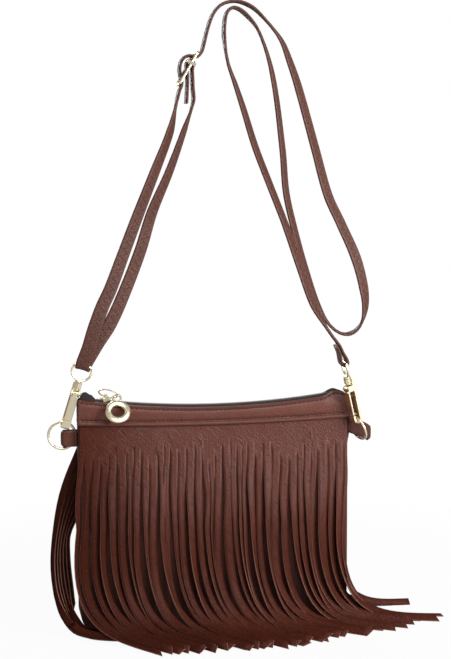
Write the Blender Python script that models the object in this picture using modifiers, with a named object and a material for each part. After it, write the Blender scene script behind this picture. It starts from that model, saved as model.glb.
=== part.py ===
"""A fringed crossbody pouch, standing on its base with its strap held up as if over a peg.

Metres, +Z up. The origin is on the floor under the middle of the bag, +X is the bag's right as it is
seen from the front, and -Y is the front. Everything is worked out from the sizes below.
"""

import math

import bmesh
import bpy
from mathutils import Matrix, Vector

MM = 0.001
GAP = 0.3 * MM  # between two pieces that touch

# Bag body
BAG_WIDTH = 240 * MM
BAG_HEIGHT = 200 * MM  # floor to the zip, at mid width
ZIP_DIP = 9.6 * MM  # how far the zip line hangs between its ends
CORNER_RADIUS = 22 * MM
TOP_HALF_DEPTH = 6.5 * MM  # mid plane to a panel's face, at the zip
BASE_HALF_DEPTH = 12 * MM
BELLY = 4 * MM  # how much the panels bulge at mid height
LEATHER = 1.4 * MM
LINING_CLOTH = 0.5 * MM
LINING_DROP = 9 * MM  # lining edge below the zip
PANEL_DROP = 3 * MM  # panel edge below the band's top

# Bands along the top
BAND_HEIGHT = 15.6 * MM  # at mid width
BAND_DIP = 3 * MM  # how far the band's lower edge hangs
BAND_LEATHER = 1.2 * MM
BAND_PADDING = 0.7 * MM
BAND_ROLL_RADIUS = 1.7 * MM

# Zip
TAPE_CLOTH = 0.5 * MM
TAPE_DEPTH = 13 * MM
CHAIN_SPLIT = 0.5 * MM  # mid plane to each half of the chain
CHAIN_WIDTH = 2 * MM
CHAIN_HEIGHT = 2 * MM
ZIP_MARGIN = 16 * MM  # from the chain's end to the bag's side
ZIP_PUCKER_LEFT = 5.5 * MM
ZIP_PUCKER_RIGHT = 3 * MM
STOP_LENGTH = 2 * MM
SLIDER_LENGTH = 9 * MM
SLIDER_WIDTH = 7 * MM
SLIDER_PLATE = 0.9 * MM
ZIP_RING_RADIUS = 8.2 * MM
ZIP_RING_WIRE = 1.2 * MM
ZIP_RING_TILT = 60  # degrees from upright, towards the front
ZIP_RING_DROOP = 18  # degrees that the pull's weight brings down its right side
PULL_RADIUS = 11 * MM
PULL_HOLE_RADIUS = 5.4 * MM
PULL_THICKNESS = 3.2 * MM
PULL_NECK = 13 * MM  # eyelet centre to disc centre
PULL_TILT = 37  # degrees that the pull leans out over the band
EYELET_RADIUS = 4.3 * MM
EYELET_HOLE_RADIUS = 2.6 * MM
EYELET_THICKNESS = 2 * MM

# Fringes
FRINGE_LEATHER = 1.0 * MM
STRIP_COUNT = 35
STRIP_WIDTH = 6.3 * MM
SLIT_DROP = 34 * MM  # bag's top to the top of the slits
SLIT_STAGGER = 3 * MM
BEND_HEIGHT = 96 * MM  # the strips hang straight down to here
TIP_SLOPE = 4  # degrees at which the tips come down on the floor
HANG_SHARE = 0.95  # of the bend's height, in which a strip still heads for the floor
LIE_SHARE = 0.62  # of a strip's way outwards, in which it already heads for its tip
FRONT_REACH = 58 * MM  # how far the front strips come forward, at the left
BACK_REACH = 40 * MM  # how far the back strips go backwards, at the left
FRONT_SWEEP = 64 * MM  # how far the front tips lie to the right of their roots, at the left
BACK_SWEEP = 58 * MM
BUNDLE_STRIPS = 4  # back strips that bulge out at the left and come round to the front
INNER_BUNDLE_STRIPS = 2  # the next ones, which stay closer to the bag
BUNDLE_STEP = 2.0 * MM

# Side tabs and the rings in them
TAB_HEIGHT = 14 * MM
LEFT_TAB_DROP = 24.8 * MM  # bag's top to the middle of the tab, at the bag
RIGHT_TAB_DROP = 19.4 * MM
LEFT_TAB_LENGTH = 14.5 * MM
RIGHT_TAB_LENGTH = 23.5 * MM
RIGHT_TAB_DROOP = 21  # degrees
TAB_LEATHER = 1.2 * MM
RING_RADIUS = 11.8 * MM  # to the middle of the wire
RING_WIRE = 2.4 * MM
LEFT_TAB_HALF_GAP = 2.4 * MM  # from the tab's middle to each of its two layers
RIGHT_TAB_HALF_GAP = 5.6 * MM
RIGHT_RING_HANGS = Vector((0.46, -0.21, -0.86))  # from its tab and hook towards its middle

# Snap hooks
EYE_WIRE = 2.2 * MM
HOOK_WIDTH = 7.6 * MM
HOOK_STOCK = 2.0 * MM
HOOK_THROAT = 2.2 * MM  # half the space between spine and nose
HOOK_REACH = 53.2 * MM  # eye bar to the middle of the hook's bend
NOSE_HEIGHT = 3.8 * MM
BARREL_RADIUS = 3.5 * MM
POST_RADIUS = 1.6 * MM
GATE_STOCK = 1.6 * MM
GATE_WIDTH = 6.8 * MM
PIN_RADIUS = 0.8 * MM
RING_IN_HOOK = HOOK_REACH - 1.4 * MM  # eye bar to the ring's wire, along the hook

# Strap and its adjuster
STRAP_WIDTH = 12.5 * MM
STRAP_THICKNESS = 2.4 * MM
ADJUSTER_WIRE = 2.4 * MM
ADJUSTER_HALF_WIDTH = 8.8 * MM  # bar middle to the rails
ADJUSTER_LUG = 8 * MM

X, Y, Z = Vector((1, 0, 0)), Vector((0, 1, 0)), Vector((0, 0, 1))
FRONT, BACK = -1, 1
PRECISE = 1e-6  # for welding points that belong together


def clear_scene():
    for old in list(bpy.data.objects):
        bpy.data.objects.remove(old, do_unlink=True)


clear_scene()
bag_collection = bpy.data.collections.new("fringed_bag")
cutter_collection = bpy.data.collections.new("cutters")
for collection in (bag_collection, cutter_collection):
    bpy.context.scene.collection.children.link(collection)


# Materials

def finish(name, colour, roughness, metallic=0.0):
    material = bpy.data.materials.new(name)
    material.use_nodes = True
    shader = material.node_tree.nodes["Principled BSDF"]
    shader.inputs["Base Color"].default_value = (*colour, 1)
    shader.inputs["Roughness"].default_value = roughness
    shader.inputs["Metallic"].default_value = metallic
    material.diffuse_color = (*colour, 1)
    return material


BROWN_LEATHER = finish("brown_leather", (0.135, 0.045, 0.032), 0.45)
BAND_BROWN = finish("band_leather", (0.15, 0.052, 0.038), 0.42)
STRAP_BROWN = finish("strap_leather", (0.11, 0.043, 0.032), 0.5)
LINING_CLOTH_FINISH = finish("lining_cloth", (0.08, 0.06, 0.05), 0.9)
ZIP_BLACK = finish("zip_tape", (0.01, 0.009, 0.009), 0.8)
COIL_BLACK = finish("zip_coil", (0.012, 0.011, 0.011), 0.5)
PALE_GOLD = finish("pale_gold", (0.83, 0.72, 0.45), 0.22, 1.0)


# Making objects

def part(name, mesh, material, smooth_angle=40):
    """The mesh as one of the bag's pieces."""
    obj = bpy.data.objects.new(name, mesh)
    bag_collection.objects.link(obj)
    mesh.materials.clear()
    mesh.materials.append(material)
    mesh.shade_smooth()
    mesh.set_sharp_from_angle(angle=math.radians(smooth_angle))
    return obj


def mesh_of(obj, weld=PRECISE):
    """The object's evaluated mesh in its own space, welded closed. The object is removed."""
    bpy.context.view_layer.update()
    evaluated = obj.evaluated_get(bpy.context.evaluated_depsgraph_get())
    mesh = bpy.data.meshes.new_from_object(evaluated)
    mesh.transform(obj.matrix_world)
    bpy.data.objects.remove(obj, do_unlink=True)
    work = bmesh.new()
    work.from_mesh(mesh)
    bmesh.ops.remove_doubles(work, verts=work.verts, dist=weld)
    bmesh.ops.recalc_face_normals(work, faces=work.faces)
    work.to_mesh(mesh)
    work.free()
    return mesh


def surface(rows, outward, closed=False):
    """An open mesh of quads through rows of points. The first face looks along outward."""
    work = bmesh.new()
    grid = [[work.verts.new(point) for point in row] for row in rows]
    for upper, lower in zip(grid, grid[1:]):
        count = len(upper)
        for j in range(count if closed else count - 1):
            k = (j + 1) % count
            work.faces.new((upper[j], upper[k], lower[k], lower[j]))
    work.normal_update()
    if next(iter(work.faces)).normal.dot(outward) < 0:
        bmesh.ops.reverse_faces(work, faces=work.faces)
    mesh = bpy.data.meshes.new("surface")
    work.to_mesh(mesh)
    work.free()
    return mesh


def solidify(obj, thickness, offset=-1.0, even=True):
    modifier = obj.modifiers.new("thickness", "SOLIDIFY")
    modifier.thickness = thickness
    modifier.offset = offset
    modifier.use_even_offset = even
    return obj


def bevel(obj, width, segments=1, angle=35):
    modifier = obj.modifiers.new("rounded", "BEVEL")
    modifier.width = width
    modifier.segments = segments
    modifier.limit_method = "ANGLE"
    modifier.angle_limit = math.radians(angle)
    return obj


def wire_mesh(points, radius, cyclic=False, sides=2):
    curve = bpy.data.curves.new("wire", "CURVE")
    curve.dimensions = "3D"
    curve.bevel_depth = radius
    curve.bevel_resolution = sides
    curve.use_fill_caps = not cyclic
    spline = curve.splines.new("POLY")
    spline.points.add(len(points) - 1)
    for target, point in zip(spline.points, points):
        target.co = (*point, 1)
    spline.use_cyclic_u = cyclic
    obj = bpy.data.objects.new("wire", curve)
    bag_collection.objects.link(obj)
    return mesh_of(obj)


def plate_mesh(outline, thickness):
    """A flat outline in X and Y, with its thickness centred on Z."""
    curve = bpy.data.curves.new("plate", "CURVE")
    curve.dimensions = "2D"
    curve.fill_mode = "BOTH"
    curve.extrude = thickness / 2
    spline = curve.splines.new("POLY")
    spline.points.add(len(outline) - 1)
    for target, (u, v) in zip(spline.points, outline):
        target.co = (u, v, 0, 1)
    spline.use_cyclic_u = True
    obj = bpy.data.objects.new("plate", curve)
    bag_collection.objects.link(obj)
    return mesh_of(obj)


def turned_mesh(profile, steps=20):
    """A profile of (radius, height) turned about Z. It runs down its outer side."""
    mesh = bpy.data.meshes.new("turned")
    points = [(radius, 0, height) for radius, height in profile]
    mesh.from_pydata(points, [(i, i + 1) for i in range(len(points) - 1)], [])
    obj = bpy.data.objects.new("turned", mesh)
    bag_collection.objects.link(obj)
    screw = obj.modifiers.new("turn", "SCREW")
    screw.steps = screw.render_steps = steps
    screw.use_merge_vertices = True
    screw.merge_threshold = PRECISE
    return mesh_of(obj)


def box_mesh(low, high):
    work = bmesh.new()
    bmesh.ops.create_cube(work, size=1)
    low, high = Vector(low), Vector(high)
    for vertex in work.verts:
        vertex.co = (low + high) / 2 + Vector(a * b for a, b in zip(vertex.co, high - low))
    mesh = bpy.data.meshes.new("box")
    work.to_mesh(mesh)
    work.free()
    return mesh


def rod_mesh(start, end, radius, sides=16):
    start, end = Vector(start), Vector(end)
    work = bmesh.new()
    bmesh.ops.create_cone(work, cap_ends=True, segments=sides, radius1=radius, radius2=radius,
                          depth=(end - start).length)
    turn = (end - start).to_track_quat("Z", "Y").to_matrix().to_4x4()
    work.transform(Matrix.Translation((start + end) / 2) @ turn)
    mesh = bpy.data.meshes.new("rod")
    work.to_mesh(mesh)
    work.free()
    return mesh


def torus_mesh(radius, wire, major=30, minor=8):
    bpy.ops.mesh.primitive_torus_add(major_radius=radius, minor_radius=wire / 2,
                                     major_segments=major, minor_segments=minor)
    return mesh_of(bpy.context.object)


def combine(obj, mesh, operation):
    """A Boolean with a helper that holds the mesh, in the object's own space."""
    helper = bpy.data.objects.new(f"{obj.name}_{operation.lower()}", mesh)
    cutter_collection.objects.link(helper)
    helper.parent = obj
    helper.hide_render = True
    helper.hide_set(True)
    helper.display_type = "WIRE"
    modifier = obj.modifiers.new(operation.lower(), "BOOLEAN")
    modifier.operation = operation
    modifier.object = helper
    modifier.solver = "EXACT"
    return obj


def join(obj, mesh):
    return combine(obj, mesh, "UNION")


def cut(obj, mesh):
    return combine(obj, mesh, "DIFFERENCE")


def anchor(name, matrix, parent=None):
    """An empty on a joint's axis, placed in world space."""
    empty = bpy.data.objects.new(name, None)
    empty.empty_display_size = 5 * MM
    bag_collection.objects.link(empty)
    if parent:
        bpy.context.view_layer.update()
        empty.parent = parent
        empty.matrix_parent_inverse = parent.matrix_world.inverted()
    empty.matrix_world = matrix
    bpy.context.view_layer.update()
    return empty


def carry(obj, empty):
    """Parents a piece that was modelled in the empty's own space to it."""
    obj.parent = empty
    return obj


def square_to(vector, axis):
    return (vector - axis * vector.dot(axis)).normalized()


def frame_matrix(origin, across, up):
    """Local Z along up, and local X as near to across as it can be."""
    up = up.normalized()
    across = square_to(across, up)
    rotation = Matrix((across, up.cross(across), up)).transposed()
    return Matrix.Translation(origin) @ rotation.to_4x4()


def smooth(t):
    t = min(max(t, 0.0), 1.0)
    return t * t * (3 - 2 * t)


def mix(a, b, t):
    return a + (b - a) * t


# The bag's form

HALF_WIDTH = BAG_WIDTH / 2
ZIP_END = HALF_WIDTH - ZIP_MARGIN
SLIT_HEIGHT = BAG_HEIGHT - SLIT_DROP
ZIP_ARC_RADIUS = (HALF_WIDTH ** 2 + ZIP_DIP ** 2) / (2 * ZIP_DIP)
ZIP_ARC_CENTRE = Vector((0, 0, BAG_HEIGHT + ZIP_ARC_RADIUS))


def top_z(x):
    """Height of the bag's top edge, an arc that hangs between the ends."""
    return ZIP_ARC_CENTRE.z - math.sqrt(ZIP_ARC_RADIUS ** 2 - x ** 2)


def band_bottom_z(x):
    return BAG_HEIGHT - BAND_HEIGHT + BAND_DIP * (x / HALF_WIDTH) ** 2


def panel_depth(x, z):
    """Mid plane to the outer face of a panel."""
    t = min(z / BAG_HEIGHT, 1)
    edge = mix(TOP_HALF_DEPTH, BASE_HALF_DEPTH, math.cos(math.pi / 2 * t))
    return edge + BELLY * (1 - (x / HALF_WIDTH) ** 2) * math.sin(math.pi * t) ** 2


def outline_levels(inset, corner_steps=4):
    """(height, half width) up the bag's rounded lower corner."""
    radius = CORNER_RADIUS - inset
    turns = [math.pi / 2 * i / corner_steps for i in range(corner_steps + 1)]
    return [(inset + radius * (1 - math.cos(a)), HALF_WIDTH - CORNER_RADIUS + radius * math.sin(a))
            for a in turns]


def wall_rows(inset, drop, columns, upper_rows=6):
    """Rows of (x, z) that fill the bag's outline, from the base up."""
    levels = outline_levels(inset)
    across = [2 * j / columns - 1 for j in range(columns + 1)]
    rows = [[(half * u, height) for u in across] for height, half in levels]
    corner_top, half = levels[-1]
    for k in range(1, upper_rows + 1):
        rows.append([(half * u, mix(corner_top, top_z(half * u) - drop, k / upper_rows))
                     for u in across])
    return rows


def make_panel(name, side):
    rows = [[Vector((x, side * panel_depth(x, z), z)) for x, z in row]
            for row in wall_rows(0, PANEL_DROP, 12)]
    return solidify(part(name, surface(rows, side * Y), BROWN_LEATHER), LEATHER)


def make_gusset():
    """The strip between the panels, down one side, along the base and up the other."""
    half_path = [(0, 0)] + [(half, height) for height, half in outline_levels(0)]
    side_top = top_z(HALF_WIDTH) - PANEL_DROP
    side_steps = 5
    half_path += [(HALF_WIDTH, mix(CORNER_RADIUS, side_top, k / side_steps))
                  for k in range(1, side_steps + 1)]
    path = [(-x, z) for x, z in reversed(half_path[1:])] + half_path
    rows = []
    for x, z in path:
        reach = panel_depth(x, z) - LEATHER - GAP
        rows.append([Vector((x, -reach, z)), Vector((x, reach, z))])
    return solidify(part("side_gusset", surface(rows, -X), BROWN_LEATHER), LEATHER)


def make_lining():
    inset = LEATHER + GAP
    behind = LEATHER + GAP + TAPE_CLOTH + GAP
    rows = []
    for row in wall_rows(inset, LINING_DROP, 8, upper_rows=4):
        front = [Vector((x, behind - panel_depth(x, z), z)) for x, z in row]
        back = [Vector((p.x, -p.y, p.z)) for p in reversed(front)]
        rows.append(front + back)
    mesh = surface(rows, -Y, closed=True)
    work = bmesh.new()
    work.from_mesh(mesh)
    work.verts.ensure_lookup_table()
    count = len(rows[0])
    for j in range(count // 2 - 1):
        k = count - 1 - j
        work.faces.new([work.verts[i] for i in (j, j + 1, k - 1, k)])
    bmesh.ops.recalc_face_normals(work, faces=work.faces)
    work.normal_update()
    if min(work.faces, key=lambda face: face.calc_center_median().z).normal.z > 0:
        bmesh.ops.reverse_faces(work, faces=work.faces)
    work.to_mesh(mesh)
    work.free()
    return solidify(part("lining", mesh, LINING_CLOTH_FINISH), LINING_CLOTH, even=False)


# Bands and zip

FRINGE_FACE = GAP + FRINGE_LEATHER  # panel face to fringe face
BAND_FACE = FRINGE_FACE + GAP + BAND_LEATHER  # panel face to band face
TAPE_FACE = LEATHER + GAP  # panel face in to the tape's outer face


def make_band(name, side):
    """A strip of leather with a folded top edge, light padding and a rolled lower edge."""
    lip = [(-1, -0.5), (0, 0.15), (0.75, -0.05)]
    stations = [HALF_WIDTH * (2 * j / 12 - 1) for j in range(13)]
    columns = []
    for x in stations:
        top, bottom = top_z(x), band_bottom_z(x)
        face = panel_depth(x, top) + BAND_FACE
        inner = panel_depth(x, top) - TAPE_FACE + GAP
        column = [Vector((x, side * (inner if u < 0 else mix(inner, face, u)), top + drop * MM))
                  for u, drop in lip]
        roll_top = bottom + 2 * BAND_ROLL_RADIUS
        for t in (0, 0.12, 0.5, 0.88):
            z = mix(top - BAND_LEATHER, roll_top, t)
            swell = BAND_PADDING * math.sin(math.pi * t)
            column.append(Vector((x, side * (panel_depth(x, z) + BAND_FACE + swell), z)))
        axis_z = bottom + BAND_ROLL_RADIUS
        axis_y = panel_depth(x, axis_z) + BAND_FACE + 0.2 * MM
        for degrees in (60, 15, -30, -75):
            a = math.radians(degrees)
            column.append(Vector((x, side * (axis_y + BAND_ROLL_RADIUS * (math.cos(a) - 0.5)),
                                  axis_z + BAND_ROLL_RADIUS * math.sin(a))))
        columns.append(column)
    rows = [list(row) for row in zip(*columns)]
    return solidify(part(name, surface(rows, -side * Y), BAND_BROWN, 60), BAND_LEATHER)


def pucker(x):
    """How far the zip's ends stand up."""
    start, end = ZIP_END + STOP_LENGTH, HALF_WIDTH - LEATHER
    t = (abs(x) - start) / (end - start)
    rise = ZIP_PUCKER_LEFT if x < 0 else ZIP_PUCKER_RIGHT
    return rise * math.sin(math.pi * min(t, 1)) ** 0.5 if 0 < t < 1 else 0.0


CHAIN_TOP = 2.1 * MM  # above the bag's top edge
CHAIN_BASE = CHAIN_TOP - CHAIN_HEIGHT
TAPE_TOP = CHAIN_BASE - GAP


def make_tape(name, side):
    end = HALF_WIDTH - LEATHER - 2 * GAP
    inner_stations = [ZIP_END * (2 * j / 10 - 1) for j in range(11)]
    outer = [ZIP_END + STOP_LENGTH + (end - ZIP_END - STOP_LENGTH) * k / 5 for k in range(6)]
    stations = [-x for x in reversed(outer)] + inner_stations + outer
    columns = []
    for x in stations:
        top = top_z(x) + TAPE_TOP
        wall = panel_depth(x, top) - TAPE_FACE
        low = top - TAPE_DEPTH
        rise = pucker(x)
        column = [(CHAIN_SPLIT, top + rise), (wall - 2 * GAP, top + rise), (wall, top - 2 * GAP),
                  (panel_depth(x, low) - TAPE_FACE, low)]
        columns.append([Vector((x, side * y, z)) for y, z in column])
    rows = [list(row) for row in zip(*columns)]
    return solidify(part(name, surface(rows, Z), ZIP_BLACK), TAPE_CLOTH, even=False)


def bar_mesh(stations, section):
    """A bar along X whose section, in (y, z), follows the bag's top edge."""
    work = bmesh.new()
    rings = [[work.verts.new((x, y, top_z(x) + z)) for y, z in section] for x in stations]
    count = len(section)
    for first, second in zip(rings, rings[1:]):
        for j in range(count):
            k = (j + 1) % count
            work.faces.new((first[j], first[k], second[k], second[j]))
    work.faces.new(rings[0])
    work.faces.new(rings[-1])
    bmesh.ops.recalc_face_normals(work, faces=work.faces)
    mesh = bpy.data.meshes.new("bar")
    work.to_mesh(mesh)
    work.free()
    return mesh


def make_chain_half(name, side):
    near, far = side * CHAIN_SPLIT, side * (CHAIN_SPLIT + CHAIN_WIDTH)
    shoulder = CHAIN_WIDTH / 4
    section = [(near, CHAIN_BASE), (far, CHAIN_BASE), (far, CHAIN_TOP - shoulder),
               (far - side * shoulder, CHAIN_TOP), (near, CHAIN_TOP)]
    stations = [ZIP_END * (2 * j / 18 - 1) for j in range(19)]
    return part(name, bar_mesh(stations, section), COIL_BLACK)


def make_zip_stop(name, low_x, low_y, high_y):
    high_x = low_x + STOP_LENGTH - 2 * GAP
    section = [(low_y, CHAIN_BASE), (high_y, CHAIN_BASE), (high_y, CHAIN_TOP + GAP),
               (low_y, CHAIN_TOP + GAP)]
    return bevel(part(name, bar_mesh([low_x, high_x], section), COIL_BLACK), 0.3 * MM)


SLIDER_REST_X = SLIDER_LENGTH / 2 - ZIP_END + 3.7 * MM
PLATE_TOP = CHAIN_TOP + GAP + SLIDER_PLATE
ARCH_PLAY = 0.7 * MM
RING_SEAT = PLATE_TOP + ARCH_PLAY + ZIP_RING_WIRE / 2  # the ring's wire, above the bag's top edge


def make_slider():
    """Two plates round the chain, a web through its middle and an arch over the ring's wire."""
    half_l, half_w = SLIDER_LENGTH / 2, SLIDER_WIDTH / 2
    nose = [(-half_l, -half_w * 0.55), (-half_l * 0.5, -half_w), (half_l * 0.6, -half_w),
            (half_l, -half_w * 0.7)]
    outline = nose + [(u, -v) for u, v in reversed(nose)]
    top = plate_mesh(outline, SLIDER_PLATE)
    top.transform(Matrix.Translation((0, 0, PLATE_TOP - SLIDER_PLATE / 2)))
    slider = part("zip_slider", top, PALE_GOLD)
    under_top = TAPE_TOP - TAPE_CLOTH - GAP
    under = plate_mesh(outline, SLIDER_PLATE)
    under.transform(Matrix.Translation((0, 0, under_top - SLIDER_PLATE / 2)))
    web_half = CHAIN_SPLIT - GAP
    web = box_mesh((-half_l * 0.7, -web_half, under_top - SLIDER_PLATE / 2),
                   (half_l * 0.1, web_half, PLATE_TOP - SLIDER_PLATE / 2))
    rail_inner = CHAIN_SPLIT + CHAIN_WIDTH + GAP
    join(slider, web)
    join(slider, under)
    for side in (FRONT, BACK):
        ends = sorted((side * rail_inner, side * half_w))
        join(slider, box_mesh((-half_l * 0.45, ends[0], TAPE_TOP + GAP),
                              (half_l * 0.55, ends[1], PLATE_TOP - SLIDER_PLATE / 2)))
    arch_half, arch_bar = 1.3 * MM, 1.0 * MM
    arch_top = RING_SEAT + ZIP_RING_WIRE / 2 + ARCH_PLAY + arch_bar
    arch_length = 1.2 * MM
    join(slider, box_mesh((-arch_length, -arch_half - arch_bar, arch_top - arch_bar),
                          (arch_length, arch_half + arch_bar, arch_top)))
    for side in (FRONT, BACK):
        ends = sorted((side * arch_half, side * (arch_half + arch_bar)))
        join(slider, box_mesh((-arch_length, ends[0], PLATE_TOP - SLIDER_PLATE / 2),
                              (arch_length, ends[1], arch_top - arch_bar / 2)))
    turn = math.asin(SLIDER_REST_X / ZIP_ARC_RADIUS)
    place = Matrix.Translation(ZIP_ARC_CENTRE) @ Matrix.Rotation(-turn, 4, "Y")
    empty = anchor("zip_slide_axis", place)
    slider.location = (0, 0, -ZIP_ARC_RADIUS)
    carry(slider, empty)
    return empty


def make_zip_ring(slider_axis):
    seat = slider_axis.matrix_world @ Vector((0, 0, RING_SEAT - ZIP_ARC_RADIUS))
    lean = Matrix.Rotation(math.radians(ZIP_RING_TILT), 4, "X")
    droop = Matrix.Rotation(math.radians(ZIP_RING_DROOP), 4, "Y")
    empty = anchor("zip_ring_axis", Matrix.Translation(seat) @ droop @ lean, slider_axis)
    mesh = torus_mesh(ZIP_RING_RADIUS, ZIP_RING_WIRE, 26, 8)
    mesh.transform(Matrix.Rotation(math.pi / 2, 4, "X"))
    mesh.transform(Matrix.Translation((0, 0, ZIP_RING_RADIUS)))
    carry(part("zip_ring", mesh, PALE_GOLD), empty)
    return empty


def make_pull(ring_axis):
    """A thick disc with a round hole and an eyelet on the ring's wire."""
    round_at = -6  # degrees round the ring from its right side
    a = math.radians(round_at)
    wire_local = Vector((math.cos(a), 0, 1 + math.sin(a))) * ZIP_RING_RADIUS
    wire = ring_axis.matrix_world @ wire_local
    hang = EYELET_HOLE_RADIUS - ZIP_RING_WIRE / 2 - 2 * GAP
    lean = Matrix.Rotation(-math.radians(PULL_TILT), 4, "X")
    empty = anchor("zip_pull_axis", Matrix.Translation(wire) @ lean, ring_axis)
    half = PULL_THICKNESS / 2
    middle = (PULL_RADIUS + PULL_HOLE_RADIUS) / 2
    disc = turned_mesh([(PULL_HOLE_RADIUS, 0), (PULL_HOLE_RADIUS + half / 2, half * 0.85),
                        (middle, half), (PULL_RADIUS - half * 0.6, half * 0.75), (PULL_RADIUS, 0),
                        (PULL_RADIUS - half * 0.6, -half * 0.75), (middle, -half),
                        (PULL_HOLE_RADIUS + half / 2, -half * 0.85), (PULL_HOLE_RADIUS, 0)], 28)
    eyelet_half = EYELET_THICKNESS / 2
    eyelet = turned_mesh([(EYELET_HOLE_RADIUS, eyelet_half * 0.6),
                          (EYELET_HOLE_RADIUS + eyelet_half * 0.4, eyelet_half),
                          (EYELET_RADIUS - eyelet_half * 0.4, eyelet_half),
                          (EYELET_RADIUS, eyelet_half * 0.6), (EYELET_RADIUS, -eyelet_half * 0.6),
                          (EYELET_RADIUS - eyelet_half * 0.4, -eyelet_half),
                          (EYELET_HOLE_RADIUS + eyelet_half * 0.4, -eyelet_half),
                          (EYELET_HOLE_RADIUS, -eyelet_half * 0.6),
                          (EYELET_HOLE_RADIUS, eyelet_half * 0.6)], 18)
    upright = Matrix.Rotation(math.pi / 2, 4, "X")
    disc.transform(Matrix.Translation((0, 0, -hang - PULL_NECK)) @ upright)
    eyelet.transform(Matrix.Translation((0, 0, -hang)) @ upright)
    pull = carry(part("zip_pull", disc, PALE_GOLD), empty)
    return join(pull, eyelet)


# Fringes

def fringe_sheet(name, side, strips):
    """One sheet of leather: a plain strip under the band, then the strips as (left, right) edges."""
    work = bmesh.new()
    columns = []
    for edges in strips:
        for edge in (0, 1):
            slit = edges[0][edge]
            top = top_z(slit.x) - PANEL_DROP - GAP
            level = mix(top, slit.z, 0.5)
            points = [Vector((slit.x, side * (panel_depth(slit.x, z) + FRINGE_FACE), z))
                      for z in (top, level)]
            columns.append([work.verts.new(p) for p in points + [row[edge] for row in edges]])
    for j, (left, right) in enumerate(zip(columns, columns[1:])):
        rows = len(left) - 1 if j % 2 == 0 else 2
        for k in range(rows):
            work.faces.new((left[k], right[k], right[k + 1], left[k + 1]))
    work.normal_update()
    work.faces.ensure_lookup_table()
    if work.faces[0].normal.y * side < 0:
        bmesh.ops.reverse_faces(work, faces=work.faces)
    mesh = bpy.data.meshes.new(name)
    work.to_mesh(mesh)
    work.free()
    return solidify(part(name, mesh, BROWN_LEATHER, 50), FRINGE_LEATHER, even=False)


def ribbon_edges(centres, widths, width):
    """Left and right edge points of a ribbon that follows centres, its width held square to it."""
    rows = []
    last = len(centres) - 1
    for i, centre in enumerate(centres):
        tangent = (centres[min(i + 1, last)] - centres[max(i - 1, 0)]).normalized()
        across = widths[i] - tangent * widths[i].dot(tangent)
        across.normalize()
        rows.append((centre - across * width / 2, centre + across * width / 2))
    return rows


def bezier(points, t):
    a, b, c, d = points
    s = 1 - t
    return a * s ** 3 + b * 3 * s * s * t + c * 3 * s * t * t + d * t ** 3


def hang_depth(x, z, half_width_turned):
    """How far from the mid plane a strip hangs so that it clears the panel above and beside it."""
    levels_above = range(int(z / MM), int(BAG_HEIGHT / MM), 6)
    fullest = max(panel_depth(x, level * MM) for level in levels_above)
    return fullest + FRINGE_FACE + half_width_turned


def strip_rows(side, x, turn, stagger, reach, sideways, slope=TIP_SLOPE):
    """A strip that hangs, turns edge-on and sweeps to the right over the floor.

    reach is how far its tip lies from the bag, sideways how far to the right of its root.
    """
    slit = SLIT_HEIGHT + stagger
    half = STRIP_WIDTH / 2
    drop_steps, sweep_steps = 3, 5
    centres, widths = [], []
    for k in range(drop_steps + 1):
        t = k / drop_steps
        z = mix(slit, BEND_HEIGHT, t)
        angle = turn * smooth(t)
        depth = hang_depth(x, z, half * abs(math.sin(angle)))
        if k == 0:
            depth = panel_depth(x, z) + FRINGE_FACE
        centres.append(Vector((x, side * depth, z)))
        widths.append(Vector((math.cos(angle), -side * math.sin(angle), 0)))
    start = centres[-1]
    heading = Vector((sideways, side * reach, 0)).normalized()
    steep = math.radians(slope)
    tip = Vector((x + sideways, start.y + side * reach, FRINGE_LEATHER * math.cos(steep) + 0.05 * MM))
    arrival = heading * math.cos(steep) - Z * math.sin(steep)
    run = math.hypot(sideways, reach)
    controls = (start, start - Z * BEND_HEIGHT * HANG_SHARE, tip - arrival * run * LIE_SHARE, tip)
    square = Vector((side * heading.y, -side * heading.x, 0))
    for k in range(1, sweep_steps + 1):
        t = k / sweep_steps
        centres.append(bezier(controls, t))
        blend = smooth(t * 1.4)
        widths.append(widths[drop_steps].lerp(square, blend))
    return ribbon_edges(centres, widths, STRIP_WIDTH)


def strip_places():
    pitch = (BAG_WIDTH - GAP - FRINGE_LEATHER) / STRIP_COUNT
    return [pitch * (i - (STRIP_COUNT - 1) / 2) for i in range(STRIP_COUNT)]


def curve_through(keys, t):
    """A smooth value through (place, value) keys."""
    for (a, low), (b, high) in zip(keys, keys[1:]):
        if t <= b:
            return mix(low, high, smooth((t - a) / (b - a)) * 0.5 + (t - a) / (b - a) * 0.5)
    return keys[-1][1]


def make_front_fringe():
    strips = []
    for i, x in enumerate(strip_places()):
        f = i / (STRIP_COUNT - 1)
        reach = FRONT_REACH * curve_through([(0, 1), (0.45, 0.91), (0.62, 0.74), (0.82, 0.47),
                                             (1, 0.07)], f)
        sideways = FRONT_SWEEP * curve_through([(0, 1), (0.6, 1.03), (0.8, 1.16), (1, 1.4)], f)
        turn = math.radians(mix(56, 76, f) + 7 * math.sin(1.9 * i) + 4 * math.sin(0.7 * i))
        strips.append(strip_rows(FRONT, x, turn, SLIT_STAGGER * math.sin(2.3 * i), reach, sideways))
    return fringe_sheet("front_fringe", FRONT, strips)


BUNDLE_FACE = Vector((0.5, -0.87, 0))  # the width of a hanging bundle strip lies along this
OUTER_BUNDLE = ((-11, 13, 128), (-19, 9, 92), (-22, 2, 60), (-18, -7, 30), (-7, -16.5, 10),
                (8, -23.5, 3.4), (21, -28.5, 1.3))  # in mm, from the floor below the bag's left side
INNER_BUNDLE = ((-6, 15, 128), (-10.5, 13.6, 94), (-11.5, 8.5, 66), (-10, 1, 42), (-7.5, -8, 22),
                (1, -15.6, 8.4), (15, -19.2, 3))


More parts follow.
